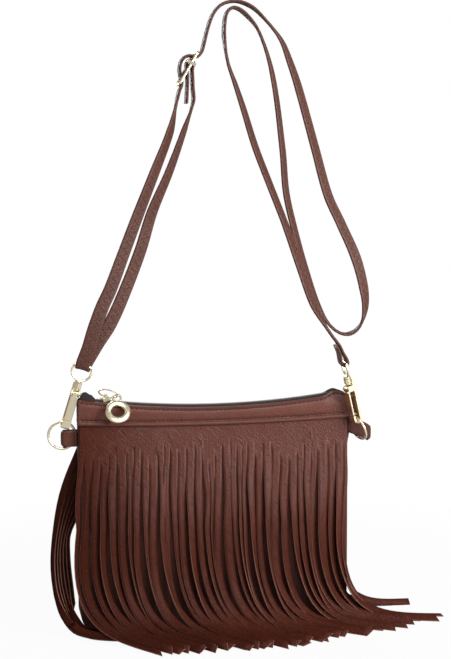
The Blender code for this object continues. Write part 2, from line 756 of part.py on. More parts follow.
def bundle_rows(i, x):
    """A back strip at the left that bulges out, then comes round to the front along the floor."""
    slit = SLIT_HEIGHT
    inner = i >= BUNDLE_STRIPS
    place = i - BUNDLE_STRIPS if inner else i
    base = [Vector((x * MM - HALF_WIDTH, y * MM, z * MM)) for x, y, z in (
        INNER_BUNDLE if inner else OUTER_BUNDLE)]
    root = Vector((strip_places()[0], panel_depth(x, slit) + FRINGE_FACE, slit))
    path = [root] + base
    centres, widths = [], []
    for k, point in enumerate(path):
        t = k / (len(path) - 1)
        ahead = (path[min(k + 1, len(path) - 1)] - path[max(k - 1, 0)]).normalized()
        flat = Vector((ahead.x, ahead.y, 0))
        sideways = Vector((ahead.y, -ahead.x, 0)).normalized() if flat.length > 0.35 else BUNDLE_FACE
        hanging = X.lerp(BUNDLE_FACE, smooth(t * 3))
        across = hanging.lerp(sideways, smooth((t - 0.45) * 4))
        across = (across - ahead * across.dot(ahead)).normalized()
        normal = across.cross(ahead).normalized()
        if normal.x < 0 or (k > 4 and normal.z < 0):
            normal = -normal
        step = X * (x - root.x)
        offset = step.lerp(normal * BUNDLE_STEP * place, smooth(t * 3.2))
        centres.append(point + offset)
        widths.append(across)
    return ribbon_edges(centres, widths, STRIP_WIDTH)


def make_back_fringe():
    strips = []
    for i, x in enumerate(strip_places()):
        f = i / (STRIP_COUNT - 1)
        if i < BUNDLE_STRIPS + INNER_BUNDLE_STRIPS:
            strips.append(bundle_rows(i, x))
            continue
        reach = BACK_REACH * curve_through([(0, 1), (0.5, 0.85), (1, 0.3)], f)
        sideways = BACK_SWEEP * curve_through([(0, 1), (0.7, 1.14), (1, 1.24)], f)
        turn = math.radians(mix(58, 74, f) + 7 * math.sin(1.7 * i + 1) + 4 * math.sin(0.9 * i))
        strips.append(strip_rows(BACK, x, turn, SLIT_STAGGER * math.sin(2.1 * i), reach, sideways))
    return fringe_sheet("back_fringe", BACK, strips)


# Side tabs and rings

def make_tab(name, side, middle, length, half_gap, droop):
    """A strip folded round the ring's wire: two layers and a round fold at its outer end."""
    radius = half_gap + TAB_LEATHER / 2
    fold = length - radius - TAB_LEATHER / 2
    path = [(0, -radius), (fold / 2, -radius), (fold, -radius)]
    path += [(fold + radius * math.sin(a), -radius * math.cos(a))
             for a in (math.pi * k / 6 for k in range(1, 6))]
    path += [(fold, radius), (fold / 2, radius), (0, radius)]
    slope = math.tan(math.radians(droop))
    rows = [[Vector((side * (HALF_WIDTH + GAP + u), v, middle + half - slope * u)) for u, v in path]
            for half in (TAB_HEIGHT / 2, -TAB_HEIGHT / 2)]
    return solidify(part(name, surface(rows, -Y), BROWN_LEATHER), TAB_LEATHER, offset=0.0)


def make_ring(side_name, middle, tab_point, hook_point):
    """A ring that swings about the line between its tab and its hook. The points lie on its wire."""
    chord = hook_point - tab_point
    matrix = frame_matrix(tab_point, middle - tab_point, chord)
    empty = anchor(f"{side_name}_ring_axis", matrix)
    mesh = torus_mesh(RING_RADIUS, RING_WIRE)
    mesh.transform(Matrix.Rotation(math.pi / 2, 4, "X"))
    ring = carry(part(f"{side_name}_ring", mesh, PALE_GOLD), empty)
    ring.location = matrix.inverted() @ middle
    return ring


TOP_LEFT = Vector((-HALF_WIDTH, 0, BAG_HEIGHT))
TOP_RIGHT = Vector((HALF_WIDTH, 0, BAG_HEIGHT))
LEFT_RING_IN_HOOK = TOP_LEFT + Vector((-9.673, 0, -10.935)) * MM  # a point of the ring's wire
LEFT_DOWN = Vector((-0.313, 0, -1)).normalized()
LEFT_EYE = LEFT_RING_IN_HOOK - LEFT_DOWN * RING_IN_HOOK
LEFT_BAR = square_to(X, LEFT_DOWN)
LEFT_RING_TAB_POINT_X = -(HALF_WIDTH + 2 * GAP + RING_WIRE / 2)
RIGHT_RING_IN_TAB = TOP_RIGHT + Vector((3.3, 0, -16)) * MM  # a point of the ring's wire
RIGHT_RING_IN_HOOK = TOP_RIGHT + Vector((5.8, -12.9, -11.5)) * MM  # and another
RIGHT_STRAP_POINT = TOP_RIGHT + Vector((-6.2, -17, 36.5)) * MM  # the right hook hangs from here


def left_ring_points():
    """The left ring's middle and the points of its wire in the tab and in the hook."""
    middle_x = LEFT_RING_TAB_POINT_X - RING_RADIUS
    rise = math.sqrt(RING_RADIUS ** 2 - (LEFT_RING_IN_HOOK.x - middle_x) ** 2)
    middle = Vector((middle_x, 0, LEFT_RING_IN_HOOK.z - rise))
    return middle, middle + X * RING_RADIUS, LEFT_RING_IN_HOOK


def right_ring_points():
    """The same for the right ring, which has swung to the front."""
    chord = RIGHT_RING_IN_HOOK - RIGHT_RING_IN_TAB
    away = math.sqrt(RING_RADIUS ** 2 - chord.length_squared / 4)
    hangs = square_to(RIGHT_RING_HANGS, chord.normalized())
    return RIGHT_RING_IN_TAB + chord / 2 + hangs * away, RIGHT_RING_IN_TAB, RIGHT_RING_IN_HOOK


RIGHT_RING_POINTS = right_ring_points()
RIGHT_DOWN = (RIGHT_RING_POINTS[2] - RIGHT_STRAP_POINT).normalized()
RIGHT_EYE = RIGHT_RING_POINTS[2] - RIGHT_DOWN * RING_IN_HOOK
RIGHT_BAR = square_to(-Y, RIGHT_DOWN)
RIGHT_OUT = RIGHT_BAR.cross(RIGHT_DOWN)


# Snap hooks, each modelled with its eye bar along local X and the hook towards local -Z

EYE_HALF = STRAP_WIDTH / 2 + EYE_WIRE / 2 + 1.3 * MM
EYE_ARM = 5 * MM
EYE_BOTTOM = EYE_ARM + EYE_HALF
BARREL_TOP = EYE_BOTTOM + EYE_WIRE / 2 + 0.8 * MM
BARREL_BASE = BARREL_TOP + 4 * MM
HEAD_BASE = BARREL_BASE + GAP + 1.2 * MM
CHEEK_TOP = HEAD_BASE + 1.2 * MM
CHEEK_BASE = CHEEK_TOP + 5 * MM
PIN_Z = (CHEEK_TOP + CHEEK_BASE) / 2
THROAT_OUTER = HOOK_THROAT + HOOK_STOCK
PIN_Y = HOOK_THROAT + 0.4 * MM
NOSE_TOP = HOOK_REACH - NOSE_HEIGHT


def eye_mesh():
    corner = EYE_WIRE
    points = [Vector((-EYE_HALF + corner, 0, 0)), Vector((EYE_HALF - corner, 0, 0))]
    points += [Vector((EYE_HALF - corner * 0.3, 0, -corner * 0.3))]
    arc = [math.pi * k / 10 for k in range(11)]
    points += [Vector((EYE_HALF * math.cos(a), 0, -EYE_ARM - EYE_HALF * math.sin(a))) for a in arc]
    points += [Vector((-EYE_HALF + corner * 0.3, 0, -corner * 0.3))]
    return wire_mesh(points, EYE_WIRE / 2, cyclic=True)


def make_eye(name, empty):
    eye = carry(part(name, eye_mesh(), PALE_GOLD), empty)
    flange = BARREL_RADIUS - GAP
    head = POST_RADIUS + 0.8 * MM
    profile = [(0, -EYE_BOTTOM + EYE_WIRE / 4), (flange * 0.8, -EYE_BOTTOM + EYE_WIRE / 4),
               (flange, -EYE_BOTTOM - EYE_WIRE / 4), (flange, -BARREL_TOP + GAP),
               (POST_RADIUS, -BARREL_TOP + GAP), (POST_RADIUS, -BARREL_BASE - GAP),
               (head, -BARREL_BASE - GAP), (head, -HEAD_BASE), (0, -HEAD_BASE)]
    return join(eye, turned_mesh(profile, 16))


def hook_outline():
    """Side view of the hook in (depth, height), the spine at +depth and the nose at -depth."""
    outer = [(THROAT_OUTER * math.cos(a), -HOOK_REACH - THROAT_OUTER * math.sin(a))
             for a in (math.pi * k / 8 for k in range(9))]
    inner = [(HOOK_THROAT * math.cos(a), -HOOK_REACH - HOOK_THROAT * math.sin(a))
             for a in (math.pi * k / 8 for k in range(8, -1, -1))]
    nose = [(-THROAT_OUTER, -NOSE_TOP - HOOK_STOCK * 0.3), (-THROAT_OUTER * 0.8, -NOSE_TOP),
            (-HOOK_THROAT * 1.1, -NOSE_TOP - HOOK_STOCK * 0.2)]
    cheek_front = -PIN_Y - 1.7 * MM
    cheek = [(HOOK_THROAT, -CHEEK_BASE), (cheek_front * 0.8, -CHEEK_BASE), (cheek_front, -PIN_Z),
             (cheek_front * 0.8, -CHEEK_TOP), (HOOK_THROAT, -CHEEK_TOP)]
    top = [(HOOK_THROAT, -BARREL_TOP - 0.4 * MM), (THROAT_OUTER, -BARREL_TOP - HOOK_STOCK)]
    return outer + nose + inner + cheek + top


def on_side(mesh):
    """Turns a plate from X and Y to depth and height, its thickness along X."""
    mesh.transform(Matrix(((0, 0, 1, 0), (1, 0, 0, 0), (0, 1, 0, 0), (0, 0, 0, 1))))
    return mesh


def make_hook(name, empty):
    hook = carry(part(name, on_side(plate_mesh(hook_outline(), HOOK_WIDTH)), PALE_GOLD), empty)
    join(hook, rod_mesh((0, 0, -BARREL_BASE), (0, 0, -BARREL_TOP), BARREL_RADIUS))
    cut(hook, rod_mesh((0, 0, -BARREL_BASE - 1 * MM), (0, 0, 0), POST_RADIUS + GAP))
    head_room = POST_RADIUS + 0.8 * MM + GAP
    cut(hook, rod_mesh((0, 0, -CHEEK_TOP + GAP), (0, 0, -BARREL_BASE), head_room))
    knuckle = HOOK_WIDTH / 2 - 1.2 * MM
    cut(hook, box_mesh((-knuckle, -2 * THROAT_OUTER, -CHEEK_BASE - 1 * MM),
                       (knuckle, HOOK_THROAT, -CHEEK_TOP + 1 * MM)))
    cut(hook, rod_mesh((-HOOK_WIDTH, -PIN_Y, -PIN_Z), (HOOK_WIDTH, -PIN_Y, -PIN_Z),
                       PIN_RADIUS + GAP))
    return hook


def make_gate(name, empty):
    """The sprung gate, from its knuckle on the pin down to the hook's nose. Its origin is the pin."""
    face = -(THROAT_OUTER - HOOK_STOCK / 2) + PIN_Y - GATE_STOCK / 2
    knuckle = HOOK_WIDTH / 2 - 1.2 * MM - GAP
    end = -(NOSE_TOP - PIN_Z) + 0.4 * MM
    shoulder = -(CHEEK_BASE - PIN_Z) - 2 * GAP
    blade = box_mesh((-GATE_WIDTH / 2, face, end), (GATE_WIDTH / 2, face + GATE_STOCK, shoulder))
    gate = bevel(carry(part(name, blade, PALE_GOLD), empty), 0.3 * MM)
    web, inset = knuckle - 0.2 * MM, GATE_STOCK / 6
    join(gate, box_mesh((-web, face + inset, shoulder - 1 * MM), (web, face + GATE_STOCK - inset, 0)))
    join(gate, rod_mesh((-knuckle, 0, 0), (knuckle, 0, 0), PIN_RADIUS + 1 * MM))
    return cut(gate, rod_mesh((-HOOK_WIDTH, 0, 0), (HOOK_WIDTH, 0, 0), PIN_RADIUS + GAP))


def make_pin(name, empty):
    head, length = PIN_RADIUS + 0.6 * MM, HOOK_WIDTH / 2 + GAP
    cap = length + 0.5 * MM
    mesh = turned_mesh([(0, cap), (head, cap), (head, length), (PIN_RADIUS, length),
                        (PIN_RADIUS, -length), (head, -length), (head, -cap), (0, -cap)], 12)
    mesh.transform(Matrix.Rotation(math.pi / 2, 4, "Y"))
    pin = carry(part(name, mesh, PALE_GOLD), empty)
    pin.location = (0, -PIN_Y, -PIN_Z)
    return pin


def make_snap_hook(side_name, eye, down, bar, hook_across):
    eye_empty = anchor(f"{side_name}_eye_axis", frame_matrix(eye, bar, -down))
    make_eye(f"{side_name}_hook_eye", eye_empty)
    hook_matrix = frame_matrix(eye, hook_across, -down)
    hook_empty = anchor(f"{side_name}_swivel_axis", hook_matrix, eye_empty)
    make_hook(f"{side_name}_hook", hook_empty)
    make_pin(f"{side_name}_gate_pin", hook_empty)
    gate_matrix = hook_matrix @ Matrix.Translation((0, -PIN_Y, -PIN_Z))
    gate_empty = anchor(f"{side_name}_gate_axis", gate_matrix, hook_empty)
    make_gate(f"{side_name}_hook_gate", gate_empty)


# Strap

SPREAD = BAG_WIDTH / (240 * MM)  # the strap spreads with the bag


def over_bag(x, y, z):
    """A point above the middle of the bag's top."""
    return Vector((x * SPREAD, y, z)) * MM + Z * BAG_HEIGHT


ADJUSTER_BAR = over_bag(-20.5, 0, 297)
ADJUSTER_UP = Vector((0.5, 0, 0.866))
ADJUSTER_OUT = Vector((0.866, 0, -0.5))


def by_adjuster(out, up):
    return ADJUSTER_BAR + (ADJUSTER_OUT * out + ADJUSTER_UP * up) * MM


def by_left_eye(depth, down, along):
    return LEFT_EYE + (Y * depth + LEFT_DOWN * down + LEFT_BAR * along) * MM


def by_right_eye(out, down):
    return RIGHT_EYE + (RIGHT_OUT * out + RIGHT_DOWN * down) * MM


def strap_route():
    """(point, width direction) along the strap, from its sewn end to its other end.

    The sewn end wraps the adjuster's bar. The strap then runs down and round the left eye, back up
    through the adjuster, over the peg, down and up again in a long loop, over the peg once more and
    down to the right eye.
    """
    flat, left, right = Y, LEFT_BAR, -RIGHT_BAR

    def leaning(degrees):
        a = math.radians(degrees)
        return Vector((math.sin(a), math.cos(a), 0))

    route = [(by_adjuster(out, up), flat) for out, up in (
        (14, -31), (9.5, -22), (5, -13.5), (1.2, -7.3), (-1.6, -3.6), (-2.8, -0.2), (-1.95, 2),
        (0, 2.8), (1.95, 2), (2.8, -0.5), (4.6, -4.5), (7.5, -9), (12.5, -17), (18.3, -26))]
    route += [(over_bag(*p), leaning(degrees)) for *p, degrees in (
        (-25, 3, 241, 26), (-38, 5, 205, 40), (-53, 6, 170, 54), (-63, 6.5, 138, 62),
        (-77, 6.5, 102, 68), (-90, 6, 74, 76))]
    route += [(by_left_eye(depth, down, along), left) for depth, down, along in (
        (5, -22.6, 6.8), (3.8, -11.7, 3.9), (2.8, -3, 1.6), (2.75, 0, 1.1), (1.95, 1.95, 0.8),
        (0, 2.75, 0), (-1.95, 1.95, -0.8), (-2.75, 0, -1.1), (-2.9, -4, -1.2))]
    route += [(by_left_eye(-4.5, -16, -0.6), leaning(88))]
    route += [(over_bag(*p), leaning(degrees)) for *p, degrees in (
        (-105, -6, 71, 82), (-98, -6.5, 90, 76), (-91, -6.5, 105, 70),
        (-78, -6.5, 139, 62), (-66, -6, 170, 56), (-52, -6, 205, 48), (-38, -3, 240, 34))]
    route += [(by_adjuster(out, up), flat) for out, up in (
        (5.2, -31), (3.3, -24), (2.9, -20.4), (0.8, -16.3), (-2.4, -12.9), (-5.2, -9.4), (-7.1, -5),
        (-7.5, -0.5), (-6, 3.3), (-3.2, 5.6), (0, 6.4), (2.3, 7.9), (3.3, 10.8), (3.4, 15))]
    route += [(over_bag(*p), leaning(degrees)) for *p, degrees in (
        (-5.5, 0, 326, 0), (-0.5, 0, 339, 0), (7, 0, 347, 0), (18.5, 0, 350, 0), (30, 0, 347, 0),
        (40, 0, 340, 8), (59, 2, 319, 26), (68, 3, 299, 36), (76, 4, 277, 42), (92, 6, 224, 46),
        (104, 7, 184, 50), (116, 7, 159, 54), (130, 6, 128, 58), (137.5, 6, 101, 52),
        (139, 6, 83, 36), (134, 6, 67, 14), (122, 6, 60, 0), (109, 6, 66, 10), (98, 5.5, 82, 22),
        (85, 5, 115, 32), (72, 4, 158, 35), (65, 3, 188, 34), (61.5, 2, 224, 32), (52, 1, 288, 26),
        (40, 0, 324, 14), (28.5, 0, 338.5, 0), (18, 0, 344.6, 0), (11.5, 0, 340.5, 0),
        (9.3, 0, 331, 0), (9, -1, 319, 0), (12, -3, 298, 14), (18, -5, 280, 24), (25, -6, 259, 30),
        (35, -7.5, 227, 34), (47, -9, 196, 35), (60, -11, 163, 35), (73, -13.5, 127, 44),
        (86, -15.5, 90, 40), (99, -17, 67, 12))]
    route += [(by_right_eye(out, down), right) for out, down in (
        (-1, -16), (0.3, -9.5), (2.3, -4), (2.75, 0), (1.95, 1.95), (0, 2.75), (-1.95, 1.95),
        (-2.75, 0), (-2.7, -4), (-2.6, -9.5), (-3.9, -16))]
    return route


def smooth_route(route):
    """A finer route through the same points: short steps round tight bends, long ones elsewhere."""
    points = [p for p, _ in route]
    longest, widest = 13 * MM, math.radians(24)
    fine = []
    for i in range(len(points) - 1):
        before, start = points[max(i - 1, 0)], points[i]
        end, after = points[i + 1], points[min(i + 2, len(points) - 1)]
        leave = (end - before).normalized()
        arrive = (after - start).normalized()
        span = (end - start).length
        steps = max(math.ceil(span / longest), math.ceil(leave.angle(arrive) / widest), 1)
        controls = (start, start + leave * span / 3, end - arrive * span / 3, end)
        for k in range(steps):
            t = k / steps
            fine.append((bezier(controls, t), route[i][1].lerp(route[i + 1][1], t)))
    fine.append(route[-1])
    return fine


def make_strap():
    fine = smooth_route(strap_route())
    edges = ribbon_edges([p for p, _ in fine], [w for _, w in fine], STRAP_WIDTH)
    mesh = surface([list(row) for row in edges], X)
    return solidify(part("strap", mesh, STRAP_BROWN, 50), STRAP_THICKNESS, offset=0.0, even=False)


def make_adjuster():
    """A long frame with a round bar across it, and a lug on each rail where the bar meets it."""
    low, high, corner = -20.6 * MM, 10.8 * MM, 2.5 * MM
    half = ADJUSTER_HALF_WIDTH
    corners = [(half - corner, low + corner, -90), (half - corner, high - corner, 0),
               (-half + corner, high - corner, 90), (-half + corner, low + corner, 180)]
    loop = [Vector((0, y + corner * math.cos(math.radians(start + turn)),
                    z + corner * math.sin(math.radians(start + turn))))
            for y, z, start in corners for turn in (0, 30, 60, 90)]
    frame = part("strap_adjuster", wire_mesh(loop, ADJUSTER_WIRE / 2, cyclic=True), PALE_GOLD)
    join(frame, rod_mesh((0, -half, 0), (0, half, 0), ADJUSTER_WIRE / 2 - 0.1 * MM, 12))
    lug_half = ADJUSTER_WIRE / 2 + 0.2 * MM
    for side in (FRONT, BACK):
        middle = side * half
        join(frame, box_mesh((-ADJUSTER_LUG / 2, middle - lug_half, -lug_half),
                             (ADJUSTER_LUG / 2, middle + lug_half, lug_half)))
    frame.matrix_world = (Matrix.Translation(ADJUSTER_BAR)
                          @ Matrix((ADJUSTER_OUT, Y, ADJUSTER_UP)).transposed().to_4x4())
    return frame


# Assembly

def build_bag():
    make_panel("front_panel", FRONT)
    make_panel("back_panel", BACK)
    make_gusset()
    make_lining()
    make_band("front_band", FRONT)
    make_band("back_band", BACK)
    make_front_fringe()
    make_back_fringe()


def build_zip():
    make_tape("zip_tape_front", FRONT)
    make_tape("zip_tape_back", BACK)
    make_chain_half("zip_chain_front", FRONT)
    make_chain_half("zip_chain_back", BACK)
    width = CHAIN_SPLIT + CHAIN_WIDTH
    make_zip_stop("zip_bottom_stop", ZIP_END + GAP, -width, width)
    left = -ZIP_END - STOP_LENGTH + GAP
    make_zip_stop("zip_top_stop_front", left, -width, -CHAIN_SPLIT)
    make_zip_stop("zip_top_stop_back", left, CHAIN_SPLIT, width)
    make_pull(make_zip_ring(make_slider()))


def build_rings_and_hooks():
    make_tab("left_tab", -1, BAG_HEIGHT - LEFT_TAB_DROP, LEFT_TAB_LENGTH, LEFT_TAB_HALF_GAP, 0)
    make_tab("right_tab", 1, BAG_HEIGHT - RIGHT_TAB_DROP, RIGHT_TAB_LENGTH, RIGHT_TAB_HALF_GAP,
             RIGHT_TAB_DROOP)
    make_ring("left", *left_ring_points())
    middle, tab_point, hook_point = RIGHT_RING_POINTS
    make_ring("right", *RIGHT_RING_POINTS)
    make_snap_hook("left", LEFT_EYE, LEFT_DOWN, LEFT_BAR, LEFT_BAR)
    ring_axle = (tab_point - middle).cross(hook_point - middle)
    wire_direction = ring_axle.cross(hook_point - middle)
    make_snap_hook("right", RIGHT_EYE, RIGHT_DOWN, RIGHT_BAR, wire_direction)


build_bag()
build_zip()
build_rings_and_hooks()
make_strap()
make_adjuster()
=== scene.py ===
"""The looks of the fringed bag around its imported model: leather, stitching, zip and fittings.

Metres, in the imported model's frame: +Z up, -Y out of the bag's front, +X to the right of someone
who faces that front. Sizes that the model and the looks share are written again here.
"""

import math
import random

import bmesh
import bpy
from mathutils import Matrix, Vector, noise


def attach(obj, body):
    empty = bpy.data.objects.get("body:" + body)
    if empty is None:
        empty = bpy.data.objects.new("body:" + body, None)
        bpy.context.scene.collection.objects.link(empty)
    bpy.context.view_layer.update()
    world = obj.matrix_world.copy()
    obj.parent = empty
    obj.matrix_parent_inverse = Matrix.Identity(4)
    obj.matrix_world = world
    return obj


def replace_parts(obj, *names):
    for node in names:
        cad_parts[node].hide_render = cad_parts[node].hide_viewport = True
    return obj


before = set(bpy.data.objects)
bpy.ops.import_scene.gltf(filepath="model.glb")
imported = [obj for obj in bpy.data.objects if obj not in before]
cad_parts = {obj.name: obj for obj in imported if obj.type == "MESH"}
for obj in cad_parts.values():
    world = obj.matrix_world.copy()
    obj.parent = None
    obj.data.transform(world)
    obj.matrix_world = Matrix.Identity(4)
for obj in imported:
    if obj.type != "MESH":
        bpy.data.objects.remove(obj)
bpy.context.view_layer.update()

MM = 0.001
X, Y, Z = Vector((1, 0, 0)), Vector((0, 1, 0)), Vector((0, 0, 1))
FRONT, BACK = -1, 1

# Camera, as the photograph was taken: 451 x 659 pixels
PHOTO_WIDTH, PHOTO_HEIGHT = 451, 659
CAMERA_DISTANCE = 1.25
CAMERA_HEIGHT = 0.42
CAMERA_AZIMUTH = -10  # degrees
CAMERA_DIP = 6.95  # degrees
FOCAL_PIXELS = 1437
BAG_COLUMN = 213.5  # picture column of the bag's middle
SENSOR_HEIGHT = 36

# Bag
HALF_WIDTH = 120 * MM
BAG_HEIGHT = 200 * MM
ZIP_DIP = 9.6 * MM
CORNER_RADIUS = 22 * MM
TOP_HALF_DEPTH = 6.5 * MM
BASE_HALF_DEPTH = 12 * MM
BELLY = 4 * MM
GAP = 0.3 * MM
LEATHER = 1.4 * MM
LINING_CLOTH = 0.5 * MM
LINING_DROP = 9 * MM
PANEL_DROP = 3 * MM
SIDE_BULGE = 4.2 * MM  # how far the gusset folds out at its right top

# Bands
BAND_HEIGHT = 15.6 * MM
BAND_DIP = 3 * MM
BAND_LEATHER = 1.2 * MM
BAND_PADDING = 0.7 * MM
BAND_ROLL_RADIUS = 1.8 * MM
BAND_ROLL_PROUD = 0.5 * MM  # from the face out to the roll's axis
BAND_RISE = 0.75  # share of the tape's right hump that the band follows
BAND_LEAN = 0.6  # share of that rise by which it leans in over the zip
BAND_CORNERS = (2.5 * MM, 4.4 * MM)  # radius of the upper corner at the left and the right end
UPPER_STITCHES = 2.2 * MM  # below the band's top
LOWER_STITCHES = 4.7 * MM  # above its lower edge
STITCH_PITCH = 3.7 * MM
STITCH_SHARE = 0.72  # of the pitch
STITCH_THREAD = 0.5 * MM  # radius
STITCH_DIP, STITCH_DIP_WIDTH = 0.75 * MM, 0.9 * MM  # how the thread draws the leather in

# Zip
TAPE_CLOTH = 0.5 * MM
TAPE_DEPTH = 13 * MM
CHAIN_SPLIT = 0.5 * MM
CHAIN_WIDTH = 2 * MM
CHAIN_TOP = 2.1 * MM
CHAIN_HEIGHT = 2 * MM
ZIP_END = 104 * MM
STOP_LENGTH = 2 * MM
TOOTH_PITCH = 1.9 * MM
TOOTH_BEVEL = 0.22 * MM
PUCKERS = (6.5 * MM, 4.6 * MM)  # how far the tape stands up at its left and its right end
HUMP_START, HUMP_PEAK, HUMP_END = 98 * MM, 107.7 * MM, 119.5 * MM

# Fringes
FRINGE_LEATHER = 1.0 * MM
SLIT_HEIGHT = 166 * MM
BEND_HEIGHT = 96 * MM
TIP_SLOPE = 4  # degrees
HANG_SHARE = 0.95
LIE_SHARE = 0.62
SHINGLE_TILTS = (0.4, 1.5)  # how steeply the far edge of a strip rides up on its neighbour
FRONT_REACH, FRONT_SWEEP = 58 * MM, 64 * MM
BACK_REACH, BACK_SWEEP = 40 * MM, 58 * MM
BUNDLE_STRIPS = 4
INNER_BUNDLE_STRIPS = 2
BUNDLE_STEP = 2 * MM
SLIT_WIDTH = 0.35 * MM
RIBBON_COLUMNS = 4  # points across a strip
PLAIN_STEPS, DROP_STEPS, SWEEP_STEPS = 7, 12, 22  # down to the slit, to the bend, to the tip
TURNED_BY_BEND = 0.5  # share of its turn that a strip has made where it starts to bend outwards
SETTLE_SIZE, SETTLE_DEPTH = 14 * MM, 0.5 * MM  # unevenness of the plain part
FRONT_SLITS = (  # x in mm
    -115.6, -108.1, -100.9, -93.9, -86.8, -78.8, -72.1, -65.5, -58.7, -51.4, -45.3, -40, -33.2,
    -25.9, -18.5, -11.9, -6.2, -0.8, 5.7, 13.6, 18.9, 23.7, 28.6, 35.4, 42.3, 50.4, 58.5, 65.9,
    73.4, 79.8, 86.6, 91.5, 101.5, 108.6, 116.4)

# Side tabs and rings
TAB_HEIGHT = 14 * MM
TAB_LEATHER = 1.2 * MM
RING_RADIUS = 11.8 * MM
RING_WIRE = 2.3 * MM
RING_SEAT = 1.2 * MM  # from the bag's side, past two gaps, to the middle of the wire
TAB_STITCH = 2.2 * MM
TAB_STITCH_PITCH = 3 * MM  # also how far the row of stitches lies from the bag
TAB_THREAD = 0.3 * MM  # radius

# Snap hooks
RING_IN_HOOK = 51.8 * MM

# Strap
STRAP_WIDTH = 12.5 * MM
STRAP_THICKNESS = 2.4 * MM
ZIGZAG_WIDTH = 6.4 * MM
ZIGZAG_STEP = 3.3 * MM
ZIGZAG_THREAD = 0.28 * MM  # radius


def smooth(t):
    t = min(max(t, 0.0), 1.0)
    return t * t * (3 - 2 * t)


def mix(a, b, t):
    return a + (b - a) * t


# Camera, floor and light

def add(name, data):
    obj = bpy.data.objects.new(name, data)
    bpy.context.scene.collection.objects.link(obj)
    return obj


def make_camera():
    azimuth, dip = math.radians(CAMERA_AZIMUTH), math.radians(CAMERA_DIP)
    camera = add("camera", bpy.data.cameras.new("camera"))
    camera.location = (CAMERA_DISTANCE * math.sin(azimuth), -CAMERA_DISTANCE * math.cos(azimuth),
                       CAMERA_HEIGHT)
    ahead = Vector((-math.sin(azimuth) * math.cos(dip), math.cos(azimuth) * math.cos(dip),
                    -math.sin(dip)))
    camera.rotation_euler = ahead.to_track_quat("-Z", "Y").to_euler()
    camera.data.sensor_fit = "VERTICAL"
    camera.data.sensor_height = SENSOR_HEIGHT
    camera.data.lens = FOCAL_PIXELS / PHOTO_HEIGHT * SENSOR_HEIGHT
    camera.data.shift_x = (PHOTO_WIDTH / 2 - BAG_COLUMN) / PHOTO_HEIGHT
    bpy.context.scene.camera = camera
    bpy.context.scene.view_settings.view_transform = "Standard"


make_camera()


# Finishes

class Field:
    """A value that varies over a surface. Sums and products of fields add their Math nodes."""

    def __init__(self, finish, socket):
        self.finish, self.socket = finish, socket

    def math(self, operation, *others):
        return self.finish.node("ShaderNodeMath", {"operation": operation},
                                dict(enumerate((self, *others))))

    def __add__(self, other):
        return self.math("ADD", other)

    def __mul__(self, other):
        return self.math("MULTIPLY", other)

    def __sub__(self, other):
        return self.math("SUBTRACT", other)

    def __rsub__(self, other):
        return self.finish.node("ShaderNodeMath", {"operation": "SUBTRACT"}, {0: other, 1: self})

    __radd__ = __add__
    __rmul__ = __mul__


class Finish:
    """A material and the tools to vary it."""

    def __init__(self, name, colour, roughness, **uniform):
        self.material = bpy.data.materials.new(name)
        self.material.use_nodes = True
        self.tree = self.material.node_tree
        self.shader = self.tree.nodes["Principled BSDF"]
        self.material.diffuse_color = (*colour, 1)
        self.set("Base Color", colour)
        self.set("Roughness", roughness)
        for socket, value in uniform.items():
            self.set(socket.replace("_", " "), value)

    def feed(self, socket, value):
        if isinstance(value, Field):
            self.tree.links.new(value.socket, socket)
        elif socket.type == "RGBA":
            socket.default_value = (*value, 1)
        else:
            socket.default_value = value

    def set(self, socket, value):
        self.feed(self.shader.inputs[socket], value)

    def node(self, kind, settings=None, inputs=None, out=0):
        """Adds a node and gives one of its outputs."""
        node = self.tree.nodes.new(kind)
        for key, value in (settings or {}).items():
            setattr(node, key, value)
        for key, value in (inputs or {}).items():
            self.feed(node.inputs[key], value)
        return Field(self, node.outputs[out])

    def place(self):
        return self.node("ShaderNodeTexCoord", out="Object")

    def clouds(self, place, size, detail=3.0, roughness=0.55):
        """Noise from 0 to 1 whose blotches are about this size."""
        return self.node("ShaderNodeTexNoise", None, {
            "Vector": place, "Scale": 1 / size, "Detail": detail, "Roughness": roughness}, "Fac")

    def pebbles(self, place, size):
        """Distance from the middle of each cell, 0 at the middle."""
        return self.node("ShaderNodeTexVoronoi", {"feature": "SMOOTH_F1"}, {
            "Vector": place, "Scale": 1 / size, "Smoothness": 0.6}, "Distance")

    def step(self, field, low, high):
        """0 below low, 1 above high, smooth between."""
        return self.node("ShaderNodeMapRange", {"interpolation_type": "SMOOTHSTEP"}, {
            "Value": field, "From Min": low, "From Max": high}, "Result")

    def colour_by(self, field, colour, dark, light):
        """From the darkened to the lightened colour as the field goes from 0 to 1."""
        self.set("Base Color", self.node("ShaderNodeMix", {"data_type": "RGBA"}, {
            0: field, 6: shade(colour, dark), 7: shade(colour, light)}, 2))

    def without_sheen(self, share):
        """Blends to the same colour and relief without any sheen, where the share is 1."""
        matt = self.tree.nodes.new("ShaderNodeBsdfPrincipled")
        matt.inputs["Roughness"].default_value = 0.9
        matt.inputs["Specular IOR Level"].default_value = 0.05
        for socket in ("Base Color", "Normal"):
            self.tree.links.new(self.shader.inputs[socket].links[0].from_socket,
                                matt.inputs[socket])
        sheen, plain = (Field(self, node.outputs[0]) for node in (self.shader, matt))
        self.mix_shaders(share, sheen, plain)

    def mix_shaders(self, share, first, second):
        blend = self.node("ShaderNodeMixShader", None, {0: share, 1: first, 2: second})
        self.tree.links.new(blend.socket, self.tree.nodes["Material Output"].inputs["Surface"])

    def bump(self, height, depth, strength):
        self.set("Normal", self.node("ShaderNodeBump", None, {
            "Strength": strength, "Distance": depth, "Height": height}, "Normal"))


def shade(colour, factor):
    return tuple(min(c * factor, 1.0) for c in colour)


